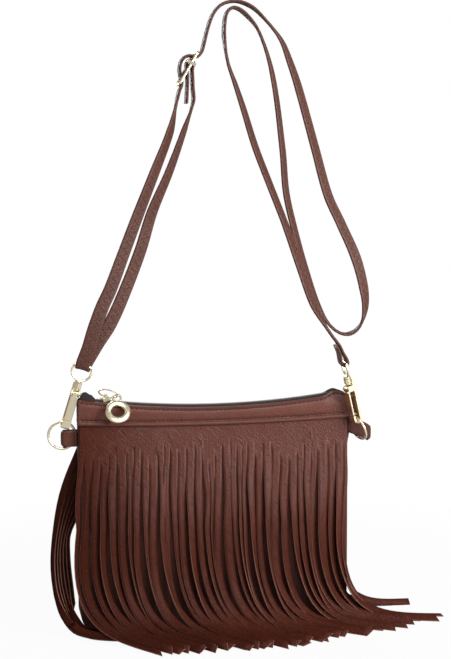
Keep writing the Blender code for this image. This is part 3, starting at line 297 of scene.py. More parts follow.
CREASE_SLANT = math.radians(42)
CREASE_STRETCH = (3, 1, 0.7)
PAINTED_SHADE_LEFT_END = (-130 * MM, -50 * MM)  # x over which the painted shade at the left end fades
PAINTED_SHADE_FOOT = (60 * MM, 168 * MM)  # z over which the painted shade on the lower part fades


def leather(name, colour, roughness, pebble, depth, crease=1.0, painted_shade=0.0):
    """Soft leather with a pebbled grain, slanting creases with painted shade in them, and uneven
    dye.

    The last argument is how much painted shade darkens its left end and its lower part and takes
    away their sheen.
    """
    finish = Finish(name, colour, roughness, Specular_IOR_Level=0.42)
    place = finish.place()
    across, height = [finish.node("ShaderNodeSeparateXYZ", None, {"Vector": place}, axis)
                      for axis in "XZ"]
    # Painted shade: the left end and the lower part, where less light falls, are darkened and lose
    # their sheen.
    left_shade = (1 - finish.step(across, *PAINTED_SHADE_LEFT_END)) * painted_shade
    foot_shade = (1 - finish.step(height, *PAINTED_SHADE_FOOT)) * painted_shade
    wander = finish.clouds(place, pebble * 3, 2)
    grain = finish.pebbles(place, pebble)
    dimples = finish.step(grain + wander * 0.25, 0.25, 0.75)
    blotch = finish.clouds(place, 30 * MM, 3)
    mottle = finish.clouds(place, 4 * MM, 3)
    fine = finish.clouds(place, 0.9 * MM, 2)
    slanting = finish.node("ShaderNodeMapping", {"vector_type": "TEXTURE"}, {
        "Vector": place, "Rotation": (0, CREASE_SLANT, 0), "Scale": CREASE_STRETCH}, "Vector")
    lines = finish.clouds(slanting, 3.4 * MM, 4, 0.6)
    creases = finish.step(lines, 0.52, 0.68) * crease
    # The creases darken the colour as painted shade, besides their bump relief.
    tone = blotch * 0.42 + mottle * 0.34 + fine * 0.34 - dimples * 0.2 - creases * 0.24 + 0.06
    # Painted shade darkens the left end and the lower part.
    tone = tone - left_shade * 0.26 - foot_shade * 0.36
    finish.colour_by(tone, colour, 0.5, 1.5)
    finish.set("Roughness", fine * 0.12 + dimples * 0.1 + (roughness - 0.09))
    finish.bump(fine * 0.25 + mottle * 0.5 - dimples * 0.6 - creases * 0.9, depth, 0.85)
    # Painted shade also takes the sheen off the left end and the lower part.
    if painted_shade:
        finish.without_sheen(1 - (1 - left_shade * 0.8) * (1 - foot_shade * 0.8))
    return finish.material


def cut_edge(name, colour):
    """The raw edge of cut leather: lighter, matt, with short fibres."""
    finish = Finish(name, colour, 0.75)
    fibres = finish.clouds(finish.place(), 0.5 * MM, 3)
    finish.colour_by(fibres, colour, 0.7, 1.3)
    finish.bump(fibres, 0.1 * MM, 0.5)
    return finish.material


def cloth(name, colour, thread):
    """A plain weave."""
    finish = Finish(name, colour, 0.9)
    place = finish.place()
    weave = [finish.node("ShaderNodeTexWave", {"bands_direction": way, "wave_profile": "SIN"}, {
        "Vector": place, "Scale": 0.3 / thread, "Distortion": 0.4}, "Fac") for way in ("X", "Z")]
    height = weave[0] * 0.5 + weave[1] * 0.5
    lint = finish.clouds(place, 3 * MM, 3)
    finish.colour_by(height * 0.6 + lint * 0.4, colour, 0.6, 1.5)
    finish.bump(height, 0.12 * MM, 0.5)
    return finish.material


def gilt(name, colour, roughness):
    """Pale gold plate on cast metal, with handling haze and fine scratches."""
    finish = Finish(name, colour, roughness, Metallic=1.0)
    place = finish.place()
    haze = finish.clouds(place, 6 * MM, 3)
    scratches = finish.clouds(place, 0.7 * MM, 4, 0.7)
    finish.colour_by(haze, colour, 0.88, 1.08)
    finish.set("Roughness", haze * 0.08 + scratches * 0.1 + (roughness - 0.07))
    finish.bump(scratches, 0.02 * MM, 0.35)
    return finish.material


def moulded(name, colour, roughness):
    """Hard dark plastic or waxed thread."""
    finish = Finish(name, colour, roughness)
    mottle = finish.clouds(finish.place(), 0.6 * MM, 3)
    finish.colour_by(mottle, colour, 0.6, 1.7)
    finish.bump(mottle, 0.06 * MM, 0.4)
    return finish.material


# The bag leather carries the painted shade at its left end and its lower part.
BAG_LEATHER = leather("bag_leather", (0.098, 0.02, 0.0095), 0.41, 1.3 * MM, 0.3 * MM, painted_shade=1.0)
# A darker copy of the bag leather: painted shade for the panels seen between the strips and for the
# right tab.
SHADED_LEATHER = leather("shaded_leather", (0.06, 0.012, 0.006), 0.7, 1.3 * MM, 0.2 * MM, 0.3)
BAND_LEATHER_FINISH = leather("band_leather_grain", (0.122, 0.031, 0.018), 0.4, 1.3 * MM, 0.2 * MM,
                              0.5)
STRAP_LEATHER = leather("strap_leather_grain", (0.095, 0.03, 0.018), 0.46, 1.5 * MM, 0.3 * MM, 0.5)
RAW_EDGE = cut_edge("raw_edge", (0.24, 0.1, 0.068))
PAINTED_EDGE = moulded("painted_edge", (0.04, 0.018, 0.014), 0.45)
DARK_THREAD = moulded("dark_thread", (0.012, 0.004, 0.003), 0.7)
BROWN_THREAD = moulded("brown_thread", (0.045, 0.019, 0.014), 0.6)
TAPE_FINISH = cloth("zip_tape_weave", (0.025, 0.016, 0.014), 0.5 * MM)
COIL_FINISH = moulded("zip_coil_nylon", (0.078, 0.06, 0.056), 0.45)
LINING_FINISH = cloth("lining_weave", (0.08, 0.06, 0.05), 0.35 * MM)
GOLD = gilt("pale_gold_plate", (0.95, 0.84, 0.6), 0.22)


# Making pieces

def piece(name, mesh, materials, body, smooth_angle=50):
    """A mesh as a piece of the bag that rides on one of its bodies."""
    obj = add(name, mesh)
    mesh.materials.clear()
    for material in materials:
        mesh.materials.append(material)
    mesh.shade_smooth()
    mesh.set_sharp_from_angle(angle=math.radians(smooth_angle))
    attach(obj, body)
    return obj


def grid_mesh(name, rows, outward, closed=False):
    """Quads through rows of points. The first face looks along outward."""
    work = bmesh.new()
    verts = [[work.verts.new(point) for point in row] for row in rows]
    for upper, lower in zip(verts, verts[1:]):
        count = len(upper)
        for j in range(count if closed else count - 1):
            k = (j + 1) % count
            work.faces.new((upper[j], upper[k], lower[k], lower[j]))
    return finished(work, name, outward)


def finished(work, name, outward=None):
    work.normal_update()
    if outward is not None and next(iter(work.faces)).normal.dot(outward) < 0:
        bmesh.ops.reverse_faces(work, faces=work.faces)
    mesh = bpy.data.meshes.new(name)
    work.to_mesh(mesh)
    work.free()
    return mesh


def thick_piece(name, node, mesh, materials, thickness, offset=-1.0):
    """A surface with a thickness, in place of a solid. Its cut edges take the last material."""
    obj = piece(name, mesh, materials, "bag")
    modifier = obj.modifiers.new("thickness", "SOLIDIFY")
    modifier.thickness = thickness
    modifier.offset = offset
    modifier.use_even_offset = False
    modifier.material_offset_rim = len(materials) - 1
    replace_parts(obj, node)


def tubes_mesh(name, runs, radius, sides=6, closed=False):
    """Round tubes along runs of points, one after another."""
    work = bmesh.new()
    for run in runs:
        padded = [run[-1], *run, run[0]] if closed else [run[0], *run, run[-1]]
        rings = []
        side = None
        for before, point, after in zip(padded, run, padded[2:]):
            along = (after - before).normalized()
            if side is None:
                side = along.orthogonal().normalized()
            side = (side - along * side.dot(along)).normalized()
            other = along.cross(side)
            turns = [2 * math.pi * k / sides for k in range(sides)]
            rings.append([work.verts.new(point + (side * math.cos(a) + other * math.sin(a))
                                         * radius) for a in turns])
        pairs = list(zip(rings, rings[1:])) + ([(rings[-1], rings[0])] if closed else [])
        for first, second in pairs:
            for k in range(sides):
                n = (k + 1) % sides
                work.faces.new((first[k], first[n], second[n], second[k]))
        if not closed:
            work.faces.new(list(reversed(rings[0])))
            work.faces.new(rings[-1])
    return finished(work, name)


# The bag's form, as in the model

ARC_RADIUS = (HALF_WIDTH ** 2 + ZIP_DIP ** 2) / (2 * ZIP_DIP)


def top_z(x):
    return BAG_HEIGHT + ARC_RADIUS - math.sqrt(ARC_RADIUS ** 2 - x ** 2)


def band_bottom_z(x):
    return BAG_HEIGHT - BAND_HEIGHT + BAND_DIP * (x / HALF_WIDTH) ** 2


def panel_depth(x, z):
    t = min(max(z / BAG_HEIGHT, 0), 1)
    edge = mix(TOP_HALF_DEPTH, BASE_HALF_DEPTH, math.cos(math.pi / 2 * t))
    return edge + BELLY * (1 - min(x / HALF_WIDTH, 1) ** 2) * math.sin(math.pi * t) ** 2


def outline_levels(inset):
    """(height, half width) up the bag's lower corner, some way inside its outline."""
    corner_steps = 10
    radius = CORNER_RADIUS - inset
    turns = [math.pi / 2 * i / corner_steps for i in range(corner_steps + 1)]
    return [(inset + radius * (1 - math.cos(a)), HALF_WIDTH - CORNER_RADIUS + radius * math.sin(a))
            for a in turns]


def wall_rows(inset, drop, columns, upper_rows):
    """Rows of (x, z) over a panel, up to some way below the zip."""
    levels = outline_levels(inset)
    across = [2 * j / columns - 1 for j in range(columns + 1)]
    rows = [[(half * u, height) for u in across] for height, half in levels]
    corner_top, half = levels[-1]
    for k in range(1, upper_rows + 1):
        rows.append([(half * u, mix(corner_top, top_z(half * u) - drop, k / upper_rows))
                     for u in across])
    return rows


def ripple(point, size, depth):
    """A smooth unevenness, the same in every run."""
    return noise.noise(point / size) * depth


def make_panel(name, node, side):
    rows = []
    for row in wall_rows(0, PANEL_DROP, 48, 24):
        rows.append([])
        for x, z in row:
            dent = ripple(Vector((x, side, z)), 45 * MM, 0.25 * MM)
            rows[-1].append(Vector((x, side * (panel_depth(x, z) + dent), z)))
    # The panels take the darker leather as painted shade behind the strips.
    thick_piece(name, node, grid_mesh(name, rows, side * Y), [SHADED_LEATHER, RAW_EDGE],
                LEATHER)


def make_gusset():
    """The strip between the panels. At its right top it folds out, where the tab pulls on it."""
    half_path = [((HALF_WIDTH - CORNER_RADIUS) * k / 12, 0) for k in range(12)]
    half_path += [(half, height) for height, half in outline_levels(0)]
    side_top = top_z(HALF_WIDTH) - PANEL_DROP
    half_path += [(HALF_WIDTH, mix(CORNER_RADIUS, side_top, k / 26)) for k in range(1, 27)]
    path = [(-x, z) for x, z in reversed(half_path[1:])] + half_path
    rows = []
    for x, z in path:
        reach = panel_depth(x, z) - LEATHER - GAP
        swell = SIDE_BULGE * smooth((z - 150 * MM) / (28 * MM)) * (x > 0)
        rows.append([Vector((x + swell * (1 - v * v), reach * v, z))
                     for v in (2 * k / 6 - 1 for k in range(7))])
    name = "side_and_base_strip"
    thick_piece(name, "side_gusset", grid_mesh(name, rows, -X), [BAG_LEATHER, RAW_EDGE],
                LEATHER)


def make_lining():
    inset = LEATHER + GAP
    behind = inset + TAPE_CLOTH + GAP
    rows = []
    for row in wall_rows(inset, LINING_DROP, 28, 16):
        front = []
        for x, z in row:
            crease = abs(ripple(Vector((x, 3, z)), 18 * MM, 0.7 * MM))
            front.append(Vector((x, behind + crease - panel_depth(x, z), z)))
        rows.append(front + [Vector((p.x, -p.y, p.z)) for p in reversed(front)])
    name = "lining_bag"
    thick_piece(name, "lining", grid_mesh(name, rows, -Y, closed=True), [LINING_FINISH],
                LINING_CLOTH)


# Bands

FRINGE_FACE = GAP + FRINGE_LEATHER
BAND_FACE = FRINGE_FACE + GAP + BAND_LEATHER
TAPE_FACE = LEATHER + GAP


def band_rise(x):
    """How far the band stands up over the zip's right end."""
    return pucker(x) * BAND_RISE if x > 0 else 0.0


def band_top_z(x):
    """The band's top edge, with its rounded upper corners and its rise."""
    radius = BAND_CORNERS[0] if x < 0 else BAND_CORNERS[1]
    into = abs(x) - (HALF_WIDTH - radius)
    fall = radius - math.sqrt(max(radius ** 2 - into ** 2, 0)) if into > 0 else 0.0
    return top_z(x) - fall * 0.8 + band_rise(x)


def band_lean(x, t):
    """How far the risen part leans in over the zip; t runs from the top edge down to the roll."""
    return band_rise(x) * BAND_LEAN * smooth(1 - t * 1.6)


def band_point(side, x, z):
    """A point on the band's flat face, with the dips that its two rows of stitches draw in."""
    top, roll_top = band_top_z(x) - BAND_LEATHER, band_bottom_z(x) + 2 * BAND_ROLL_RADIUS
    t = min(max((top - z) / (top - roll_top), 0), 1)
    swell = BAND_PADDING * math.sin(math.pi * t)
    for line in (band_top_z(x) - UPPER_STITCHES, band_bottom_z(x) + LOWER_STITCHES):
        swell -= STITCH_DIP * math.exp(-((z - line) / STITCH_DIP_WIDTH) ** 2)
    uneven = ripple(Vector((x, side, z)), 16 * MM, 0.25 * MM)
    depth = panel_depth(x, z) + BAND_FACE + swell + uneven - band_lean(x, t)
    return Vector((x, side * depth, z))


def band_stations():
    ends = [HALF_WIDTH - BAND_CORNERS[1] * (1 - math.sin(math.pi / 2 * k / 6)) for k in range(7)]
    inner = HALF_WIDTH - BAND_CORNERS[1]
    middle = [inner * (2 * j / 90 - 1) for j in range(1, 90)]
    return [-x for x in reversed(ends)] + middle + ends


def make_band(name, node, side):
    lip = [(-1, -0.5), (-0.3, 0), (0.15, 0.2), (0.55, 0.15), (0.85, -0.1)]  # share outwards, mm up
    columns = []
    for x in band_stations():
        top, bottom = band_top_z(x), band_bottom_z(x)
        face = panel_depth(x, top) + BAND_FACE - band_lean(x, 0)
        inner = panel_depth(x, top) - TAPE_FACE + GAP
        column = [Vector((x, side * (inner if u < 0 else mix(inner, face, u)), top + drop * MM))
                  for u, drop in lip]
        roll_top = bottom + 2 * BAND_ROLL_RADIUS
        for k in range(15):
            column.append(band_point(side, x, mix(top - 0.6 * MM, roll_top, k / 14)))
        axis_z = bottom + BAND_ROLL_RADIUS
        axis_y = panel_depth(x, axis_z) + BAND_FACE + BAND_ROLL_PROUD
        for k in range(9):
            a = math.radians(65 - 150 * k / 8)
            lump = ripple(Vector((x, side * 9, k)), 9 * MM, 0.12 * MM)
            y = axis_y + BAND_ROLL_RADIUS * (math.cos(a) - 0.5) + lump
            column.append(Vector((x, side * y, axis_z + BAND_ROLL_RADIUS * math.sin(a))))
        columns.append(column)
    thick_piece(name, node, grid_mesh(name, zip(*columns), -side * Y),
                [BAND_LEATHER_FINISH, RAW_EDGE], BAND_LEATHER)


def stitch(start, end, out, sunk, proud):
    """A thread's run: its ends sunk in the leather, its middle proud of it."""
    return [start - out * sunk, start.lerp(end, 0.25) + out * proud,
            start.lerp(end, 0.75) + out * proud, end - out * sunk]


def make_band_stitches(name, side):
    runs = []
    for upper in (True, False):
        points = []
        for k in range(241):
            x = (HALF_WIDTH - 2.4 * MM) * (2 * k / 240 - 1)
            z = band_top_z(x) - UPPER_STITCHES if upper else band_bottom_z(x) + LOWER_STITCHES
            points.append(band_point(side, x, z))
        travel = [points[0]]
        for point in points[1:]:
            if (point - travel[-1]).length > STITCH_PITCH:
                travel.append(point)
        runs += [stitch(p, p.lerp(q, STITCH_SHARE), side * Y, 0.3 * MM, 0.1 * MM)
                 for p, q in zip(travel, travel[1:])]
    piece(name, tubes_mesh(name, runs, STITCH_THREAD), [DARK_THREAD], "bag")


# Zip

TAPE_TOP = CHAIN_TOP - CHAIN_HEIGHT - GAP


def pucker(x):
    """How far the tape stands up: in soft folds at its left end, in one hump at its right."""
    if x < 0:
        start, end = ZIP_END - 1 * MM, HALF_WIDTH - LEATHER
        t = min(max((-x - start) / (end - start), 0), 1)
        folds = 0.86 + 0.14 * math.cos(2 * math.pi * 1.6 * t)
        return PUCKERS[0] * smooth(t * 3.2) * smooth((1 - t) * 5) * folds
    up, down = (x - HUMP_START) / (HUMP_PEAK - HUMP_START), (HUMP_END - x) / (HUMP_END - HUMP_PEAK)
    return PUCKERS[1] * smooth(up) * smooth(down)


def make_tape(name, node, side):
    end = HALF_WIDTH - LEATHER - 2 * GAP
    chain_end = ZIP_END + STOP_LENGTH
    middle = [ZIP_END * (2 * j / 60 - 1) for j in range(61)]
    outer = [mix(chain_end, end, k / 30) for k in range(31)]
    columns = []
    for x in [-x for x in reversed(outer)] + middle + outer:
        top = top_z(x) + TAPE_TOP
        wall = panel_depth(x, top) - TAPE_FACE
        low = top - TAPE_DEPTH
        rise = pucker(x)
        sway = 0.6 * MM * math.sin(x / (2.1 * MM)) * min(rise / (3 * MM), 1)
        column = [(CHAIN_SPLIT + abs(sway) * 0.5, top + rise), (wall * 0.5, top + rise * 1.04),
                  (wall * 0.82, top + rise * 0.92), (wall - 2 * GAP, top + rise * 0.66),
                  (wall, top - 2 * GAP),
                  (panel_depth(x, low) - TAPE_FACE, low)]
        columns.append([Vector((x, side * y, z)) for y, z in column])
    thick_piece(name, node, grid_mesh(name, zip(*columns), Z), [TAPE_FINISH],
                TAPE_CLOTH)


def make_teeth(name, node, side):
    """A row of teeth, each a small rounded block."""
    work = bmesh.new()
    count = int(2 * ZIP_END / TOOTH_PITCH)
    for i in range(count):
        x = -ZIP_END + (i + 0.5 + 0.25 * side) * TOOTH_PITCH
        low, high = CHAIN_SPLIT - 0.35 * MM, CHAIN_SPLIT + CHAIN_WIDTH
        middle = Vector((x, side * (low + high) / 2, top_z(x) + CHAIN_TOP - CHAIN_HEIGHT / 2))
        made = bmesh.ops.create_cube(work, size=1)["verts"]
        size = Vector((TOOTH_PITCH * 0.56, high - low, CHAIN_HEIGHT * 0.96))
        for vertex in made:
            narrow = 0.75 if vertex.co.y * side < 0 else 1.0
            vertex.co = middle + Vector((vertex.co.x * size.x * narrow, vertex.co.y * size.y,
                                         vertex.co.z * size.z))
    teeth = piece(name, finished(work, name), [COIL_FINISH], "bag", 30)
    modifier = teeth.modifiers.new("softened", "BEVEL")
    modifier.width = TOOTH_BEVEL
    modifier.segments = 2
    modifier.limit_method = "ANGLE"
    modifier.angle_limit = math.radians(30)
    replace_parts(teeth, node)


# Fringes

def ribbon_rows(centres, acrosses, width, cup, slant):
    """Rows of points across a ribbon that follows centres, a little curled along its length.

    slant is how far one corner of its end lies beyond the other.
    """
    rows, last = [], len(centres) - 1
    for i, centre in enumerate(centres):
        along = (centres[min(i + 1, last)] - centres[max(i - 1, 0)]).normalized()
        across = (acrosses[i] - along * acrosses[i].dot(along)).normalized()
        normal = across.cross(along).normalized()
        row = []
        for k in range(RIBBON_COLUMNS):
            u = k / (RIBBON_COLUMNS - 1) - 0.5
            row.append(centre + across * width * u + normal * cup * (1 - 4 * u * u)
                       + along * slant * u * smooth(1 - (last - i) / 6))
        rows.append(row)
    return rows


def bezier(points, t):
    a, b, c, d = points
    s = 1 - t
    return a * s ** 3 + b * 3 * s * s * t + c * 3 * s * t * t + d * t ** 3


def span_after(points, i):
    """The Bezier points of a smooth curve from point i to the next, and its two directions."""
    before, start = points[max(i - 1, 0)], points[i]
    end, after = points[i + 1], points[min(i + 2, len(points) - 1)]
    leave, arrive = (end - before).normalized(), (after - start).normalized()
    span = (end - start).length
    return (start, start + leave * span / 3, end - arrive * span / 3, end), leave, arrive


def curve_through(keys, t):
    """A value between keys, each a place and its value."""
    for (a, low), (b, high) in zip(keys, keys[1:]):
        if t <= b:
            u = (t - a) / (b - a)
            return mix(low, high, smooth(u) * 0.5 + u * 0.5)
    return keys[-1][1]


def hang_depth(x, z, half_width_turned):
    levels = range(int(z / MM), int(BAG_HEIGHT / MM), 6)
    return max(panel_depth(x, level * MM) for level in levels) + FRINGE_FACE + half_width_turned


def strip_path(side, x, width, slit, turn, reach, sideways, bow, sway, delay, tilt):
    """Centre points and width directions of a strip, from its slit to its tip on the floor.

    It turns by the angle turn; its tip lies reach outwards and sideways to the right. bow and
    sway bend it to the side, delay puts off its turn, tilt is its slope on the floor.
    """
    centres, acrosses = [], []
    for k in range(DROP_STEPS + 1):
        t = k / DROP_STEPS
        z = mix(slit, BEND_HEIGHT, t)
        angle = turn * TURNED_BY_BEND * smooth((t - delay) / (1 - delay))
        flush = panel_depth(x, z) + FRINGE_FACE
        clear = hang_depth(x, z, width / 2 * abs(math.sin(angle)))
        depth = mix(flush, clear, smooth(t * 4))
        shift = bow * 0.35 * smooth(t) + sway * math.sin(math.pi * t) * smooth(t * 2)
        centres.append(Vector((x + shift, side * depth, z)))
        acrosses.append(Vector((math.cos(angle), -side * math.sin(angle), 0)))
    start = centres[-1]
    heading = Vector((sideways, side * reach, 0)).normalized()
    steep = math.radians(TIP_SLOPE)
    lift = FRINGE_LEATHER + width / 2 * tilt / math.hypot(1, tilt)
    tip = Vector((x + sideways, start.y + side * reach, lift + 0.1 * MM))
    arrival = heading * math.cos(steep) - Z * math.sin(steep)
    run = math.hypot(sideways, reach)
    controls = (start, start - Z * BEND_HEIGHT * HANG_SHARE + X * bow * 1.3,
                tip - arrival * run * LIE_SHARE, tip)
    flat = Vector((side * heading.y, -side * heading.x, -side * tilt))
    for k in range(1, SWEEP_STEPS + 1):
        t = k / SWEEP_STEPS
        angle = turn * mix(TURNED_BY_BEND, 1, smooth(t * 3))
        centres.append(bezier(controls, t))
        turned = Vector((math.cos(angle), -side * math.sin(angle), 0))
        acrosses.append(turned.lerp(flat, smooth(t * 1.7 - 0.25)))
    return centres, acrosses


# Points in mm that the two groups of strips pass
OUTER_BUNDLE = ((-131, 13, 128), (-139, 9, 92), (-142, 2, 60), (-138, -7, 30), (-127, -16.5, 10),
                (-112, -23.5, 5), (-99, -28.5, 4.2), (-88, -31.5, 4))
INNER_BUNDLE = ((-126, 15, 128), (-130.5, 13.6, 94), (-131.5, 8.5, 66), (-130, 1, 42),
                (-127.5, -8, 22), (-119, -15.6, 8.4), (-105, -19.2, 4.8), (-94, -21, 4.2))
BUNDLE_FACE = Vector((0.5, -0.87, 0))  # the width of a hanging bundle strip lies along this
BUNDLE_STRAYS = (-0.6, 0.5, 1.2, 2.6, 0, 1.5)  # mm that each strip bulges out of its group


def bundle_path(i, x, first_x, slit):
    """A back strip at the left that bulges out, then comes round to the front along the floor."""
    root = Vector((first_x, panel_depth(x, slit) + FRINGE_FACE, slit))
    inner = i >= BUNDLE_STRIPS
    place = i - BUNDLE_STRIPS if inner else i
    keys = [root] + [Vector(p) * MM for p in (INNER_BUNDLE if inner else OUTER_BUNDLE)]
    centres, acrosses = [], []
    last = len(keys) - 1
    for n in range(DROP_STEPS + SWEEP_STEPS + 1):
        t = n / (DROP_STEPS + SWEEP_STEPS)
        k = min(int(t * last), last - 1)
        controls, leave, arrive = span_after(keys, k)
        point = bezier(controls, t * last - k)
        ahead = leave.lerp(arrive, t * last - k).normalized()
        flat = Vector((ahead.x, ahead.y, 0)).length
        square = Vector((ahead.y, -ahead.x, 0)).normalized() if flat > 0.05 else -Y
        across = X.lerp(BUNDLE_FACE, smooth(t * 3)) if t < 0.45 else BUNDLE_FACE.lerp(
            Z - square * 0.5, smooth((flat - 0.25) * 2))
        across = (across - ahead * across.dot(ahead)).normalized()
        normal = across.cross(ahead).normalized()
        if normal.x < 0 or (t > 0.6 and normal.z < 0):
            normal = -normal
        stack = normal * BUNDLE_STEP * place
        stray = X * BUNDLE_STRAYS[i] * MM * math.sin(math.pi * t) ** 2
        centres.append(point + (X * (x - first_x)).lerp(stack, smooth(t * 3.2)) + stray)
        acrosses.append(across)
    return centres, acrosses


def fringe_mesh(name, side, strips):
    """One sheet of leather: plain at the top, then its strips.

    A strip is its x, width, curl, the slant of its end, and its path.
    """
    work = bmesh.new()
    columns = []
    for x, width, cup, slant, (centres, acrosses) in strips:
        slit = centres[0].z
        below = ribbon_rows(centres, acrosses, width, cup, slant)
        rows = []
        for k in range(PLAIN_STEPS):
            row = []
            for point in below[0]:
                top = top_z(point.x) - PANEL_DROP - GAP
                z = mix(top, slit, k / PLAIN_STEPS)
                uneven = ripple(Vector((point.x, side, z)), SETTLE_SIZE, SETTLE_DEPTH)
                depth = panel_depth(point.x, z) + FRINGE_FACE + abs(uneven * smooth(k / 3))
                row.append(Vector((point.x, side * depth, z)))
            rows.append(row)
        settle = ripple(Vector((x, side, slit)), SETTLE_SIZE, SETTLE_DEPTH)
        for k, row in enumerate(below):
            fade = 1 - smooth(k / 5)
            rows.append([point + side * Y * abs(settle) * fade for point in row])
        columns += [[work.verts.new(row[c]) for row in rows] for c in range(len(below[0]))]
    for j, (left, right) in enumerate(zip(columns, columns[1:])):
        depth = len(left) - 1 if (j + 1) % RIBBON_COLUMNS else PLAIN_STEPS
        for k in range(depth):
            work.faces.new((left[k], right[k], right[k + 1], left[k + 1]))
    return finished(work, name, side * Y)


def make_fringe(name, node, side, strips):
    thick_piece(name, node, fringe_mesh(name, side, strips), [BAG_LEATHER, RAW_EDGE],
                FRINGE_LEATHER)


def make_front_fringe():
    dice = random.Random(7)
    edges = [-HALF_WIDTH + GAP] + [x * MM for x in FRONT_SLITS] + [HALF_WIDTH - GAP]
    strips = []
    for low, high in zip(edges, edges[1:]):
        x, width = (low + high) / 2, high - low - SLIT_WIDTH
        f = min(max((x + HALF_WIDTH) / (2 * HALF_WIDTH), 0), 1)
        reach = FRONT_REACH * curve_through([(0, 1), (0.45, 0.91), (0.62, 0.74), (0.82, 0.47),
                                             (1, 0.07)], f)
        sideways = FRONT_SWEEP * curve_through([(0, 1), (0.6, 1.03), (0.8, 1.16), (1, 1.4)], f)
        turn = mix(34, 64, f) + dice.choice((-24, -12, 0, 6, 14)) + dice.uniform(-6, 6)
        slit = SLIT_HEIGHT + (dice.uniform(-7, 5) - dice.choice((0, 0, 0, 0, 12))) * MM
        bow = (-7 * (1 - smooth(f * 5)) + dice.uniform(-1, 1) * mix(2.5, 5.5, f)) * MM
        path = strip_path(FRONT, x, width, slit, math.radians(turn),
                          reach + dice.uniform(-5, 4) * MM, sideways + dice.uniform(-8, 5) * MM,
                          bow, dice.uniform(-1.6, 1.6) * MM, dice.uniform(0, 0.35),
                          dice.uniform(*SHINGLE_TILTS))
        strips.append((x, width, dice.uniform(0.1, 0.5) * MM, dice.uniform(-5, 5) * MM, path))
    make_fringe("front_fringe_leather", "front_fringe", FRONT, strips)


def make_back_fringe():
    dice = random.Random(11)
    count = len(FRONT_SLITS) + 1
    pitch = 2 * (HALF_WIDTH - GAP) / count
    strips = []
    for i in range(count):
        x, width = pitch * (i - (count - 1) / 2), pitch - SLIT_WIDTH
        f = i / (count - 1)
        slit = SLIT_HEIGHT + dice.uniform(-5, 3) * MM
        if i < BUNDLE_STRIPS + INNER_BUNDLE_STRIPS:
            path = bundle_path(i, x, -pitch * (count - 1) / 2, SLIT_HEIGHT)
        else:
            reach = BACK_REACH * curve_through([(0, 1), (0.5, 0.85), (1, 0.3)], f)
            sideways = BACK_SWEEP * curve_through([(0, 1), (0.7, 1.14), (1, 1.24)], f)
            turn = mix(46, 62, f) + dice.choice((-20, -8, 0, 6)) + dice.uniform(-5, 5)
            path = strip_path(BACK, x, width, slit, math.radians(turn),
                              reach + dice.uniform(-3, 2) * MM, sideways + dice.uniform(-6, 4) * MM,
                              dice.uniform(-2.4, 2.4) * MM, dice.uniform(-1.4, 1.4) * MM,
                              dice.uniform(0, 0.3), dice.uniform(*SHINGLE_TILTS))
        strips.append((x, width, dice.uniform(0.1, 0.5) * MM, dice.uniform(-4, 4) * MM, path))
    make_fringe("back_fringe_leather", "back_fringe", BACK, strips)


# Tabs

def make_tab(name, node, side, middle, length, half_gap, droop, face):
    """A folded strip that holds a ring. middle is its height, droop its slope in degrees."""
    radius = half_gap + TAB_LEATHER / 2
    fold = length - radius - TAB_LEATHER / 2
    path = [(fold * k / 8, -radius) for k in range(9)]
    path += [(fold + radius * math.sin(a), -radius * math.cos(a))
             for a in (math.pi * k / 16 for k in range(1, 16))]
    path += [(fold * (8 - k) / 8, radius) for k in range(9)]
    slope = math.tan(math.radians(droop))
    rows = []
    for j in range(9):
        v = 1 - 2 * j / 8
        edge = 1 - 0.12 * abs(v) ** 6
        rows.append([Vector((side * (HALF_WIDTH + GAP + u * (edge if u > fold else 1)), y,
                             middle + v * TAB_HEIGHT / 2 - slope * u)) for u, y in path])
    thick_piece(name, node, grid_mesh(name, rows, -Y), [face, RAW_EDGE],
                TAB_LEATHER, offset=0.0)
    front = radius + TAB_LEATHER / 2
    x = side * (HALF_WIDTH + GAP + TAB_STITCH_PITCH)
    runs = []
    for k in range(4):
        z = middle + (k - 1.5 - slope) * TAB_STITCH_PITCH
        low, high = (Vector((x, -front, z + TAB_STITCH * share)) for share in (-0.5, 0.5))
        runs.append(stitch(low, high, -Y, 0.25 * MM, 0.1 * MM))
    piece(f"{name}_stitches", tubes_mesh(name, runs, TAB_THREAD), [DARK_THREAD], "bag")


# Strap

def square_to(vector, axis):
    return (vector - axis * vector.dot(axis)).normalized()


LEFT_EYE = Vector((-114.2, 0, 238.5)) * MM
LEFT_DOWN = Vector((-0.313, 0, -1)).normalized()
LEFT_BAR = square_to(X, LEFT_DOWN)
RIGHT_RING_IN_TAB = Vector((123.3, 0, 184)) * MM
RIGHT_RING_IN_HOOK = Vector((125.8, -12.9, 188.5)) * MM
RIGHT_RING_HANGS = Vector((0.46, -0.21, -0.86))
RIGHT_STRAP_POINT = Vector((113.8, -17, 236.5)) * MM
RIGHT_DOWN = (RIGHT_RING_IN_HOOK - RIGHT_STRAP_POINT).normalized()
RIGHT_EYE = RIGHT_RING_IN_HOOK - RIGHT_DOWN * RING_IN_HOOK
RIGHT_BAR = square_to(-Y, RIGHT_DOWN)
RIGHT_OUT = RIGHT_BAR.cross(RIGHT_DOWN)
ADJUSTER_BAR = Vector((-20.5, 0, 497)) * MM
ADJUSTER_UP = Vector((0.5, 0, 0.866))
ADJUSTER_OUT = Vector((0.866, 0, -0.5))


# Each of these takes places in mm and gives (point, width direction) along the strap.

def by_adjuster(*places):
    return [(ADJUSTER_BAR + (ADJUSTER_OUT * out + ADJUSTER_UP * up) * MM, Y) for out, up in places]


def by_left_eye(*places):
    return [(LEFT_EYE + (Y * depth + LEFT_DOWN * down + LEFT_BAR * along) * MM, LEFT_BAR)
            for depth, down, along in places]


def by_right_eye(*places):
    return [(RIGHT_EYE + (RIGHT_OUT * out + RIGHT_DOWN * down) * MM, -RIGHT_BAR)
            for out, down in places]


def leaning(degrees):
    a = math.radians(degrees)
    return Vector((math.sin(a), math.cos(a), 0))


def over_bag(*places):
    return [(Vector(place) * MM, leaning(degrees)) for *place, degrees in places]


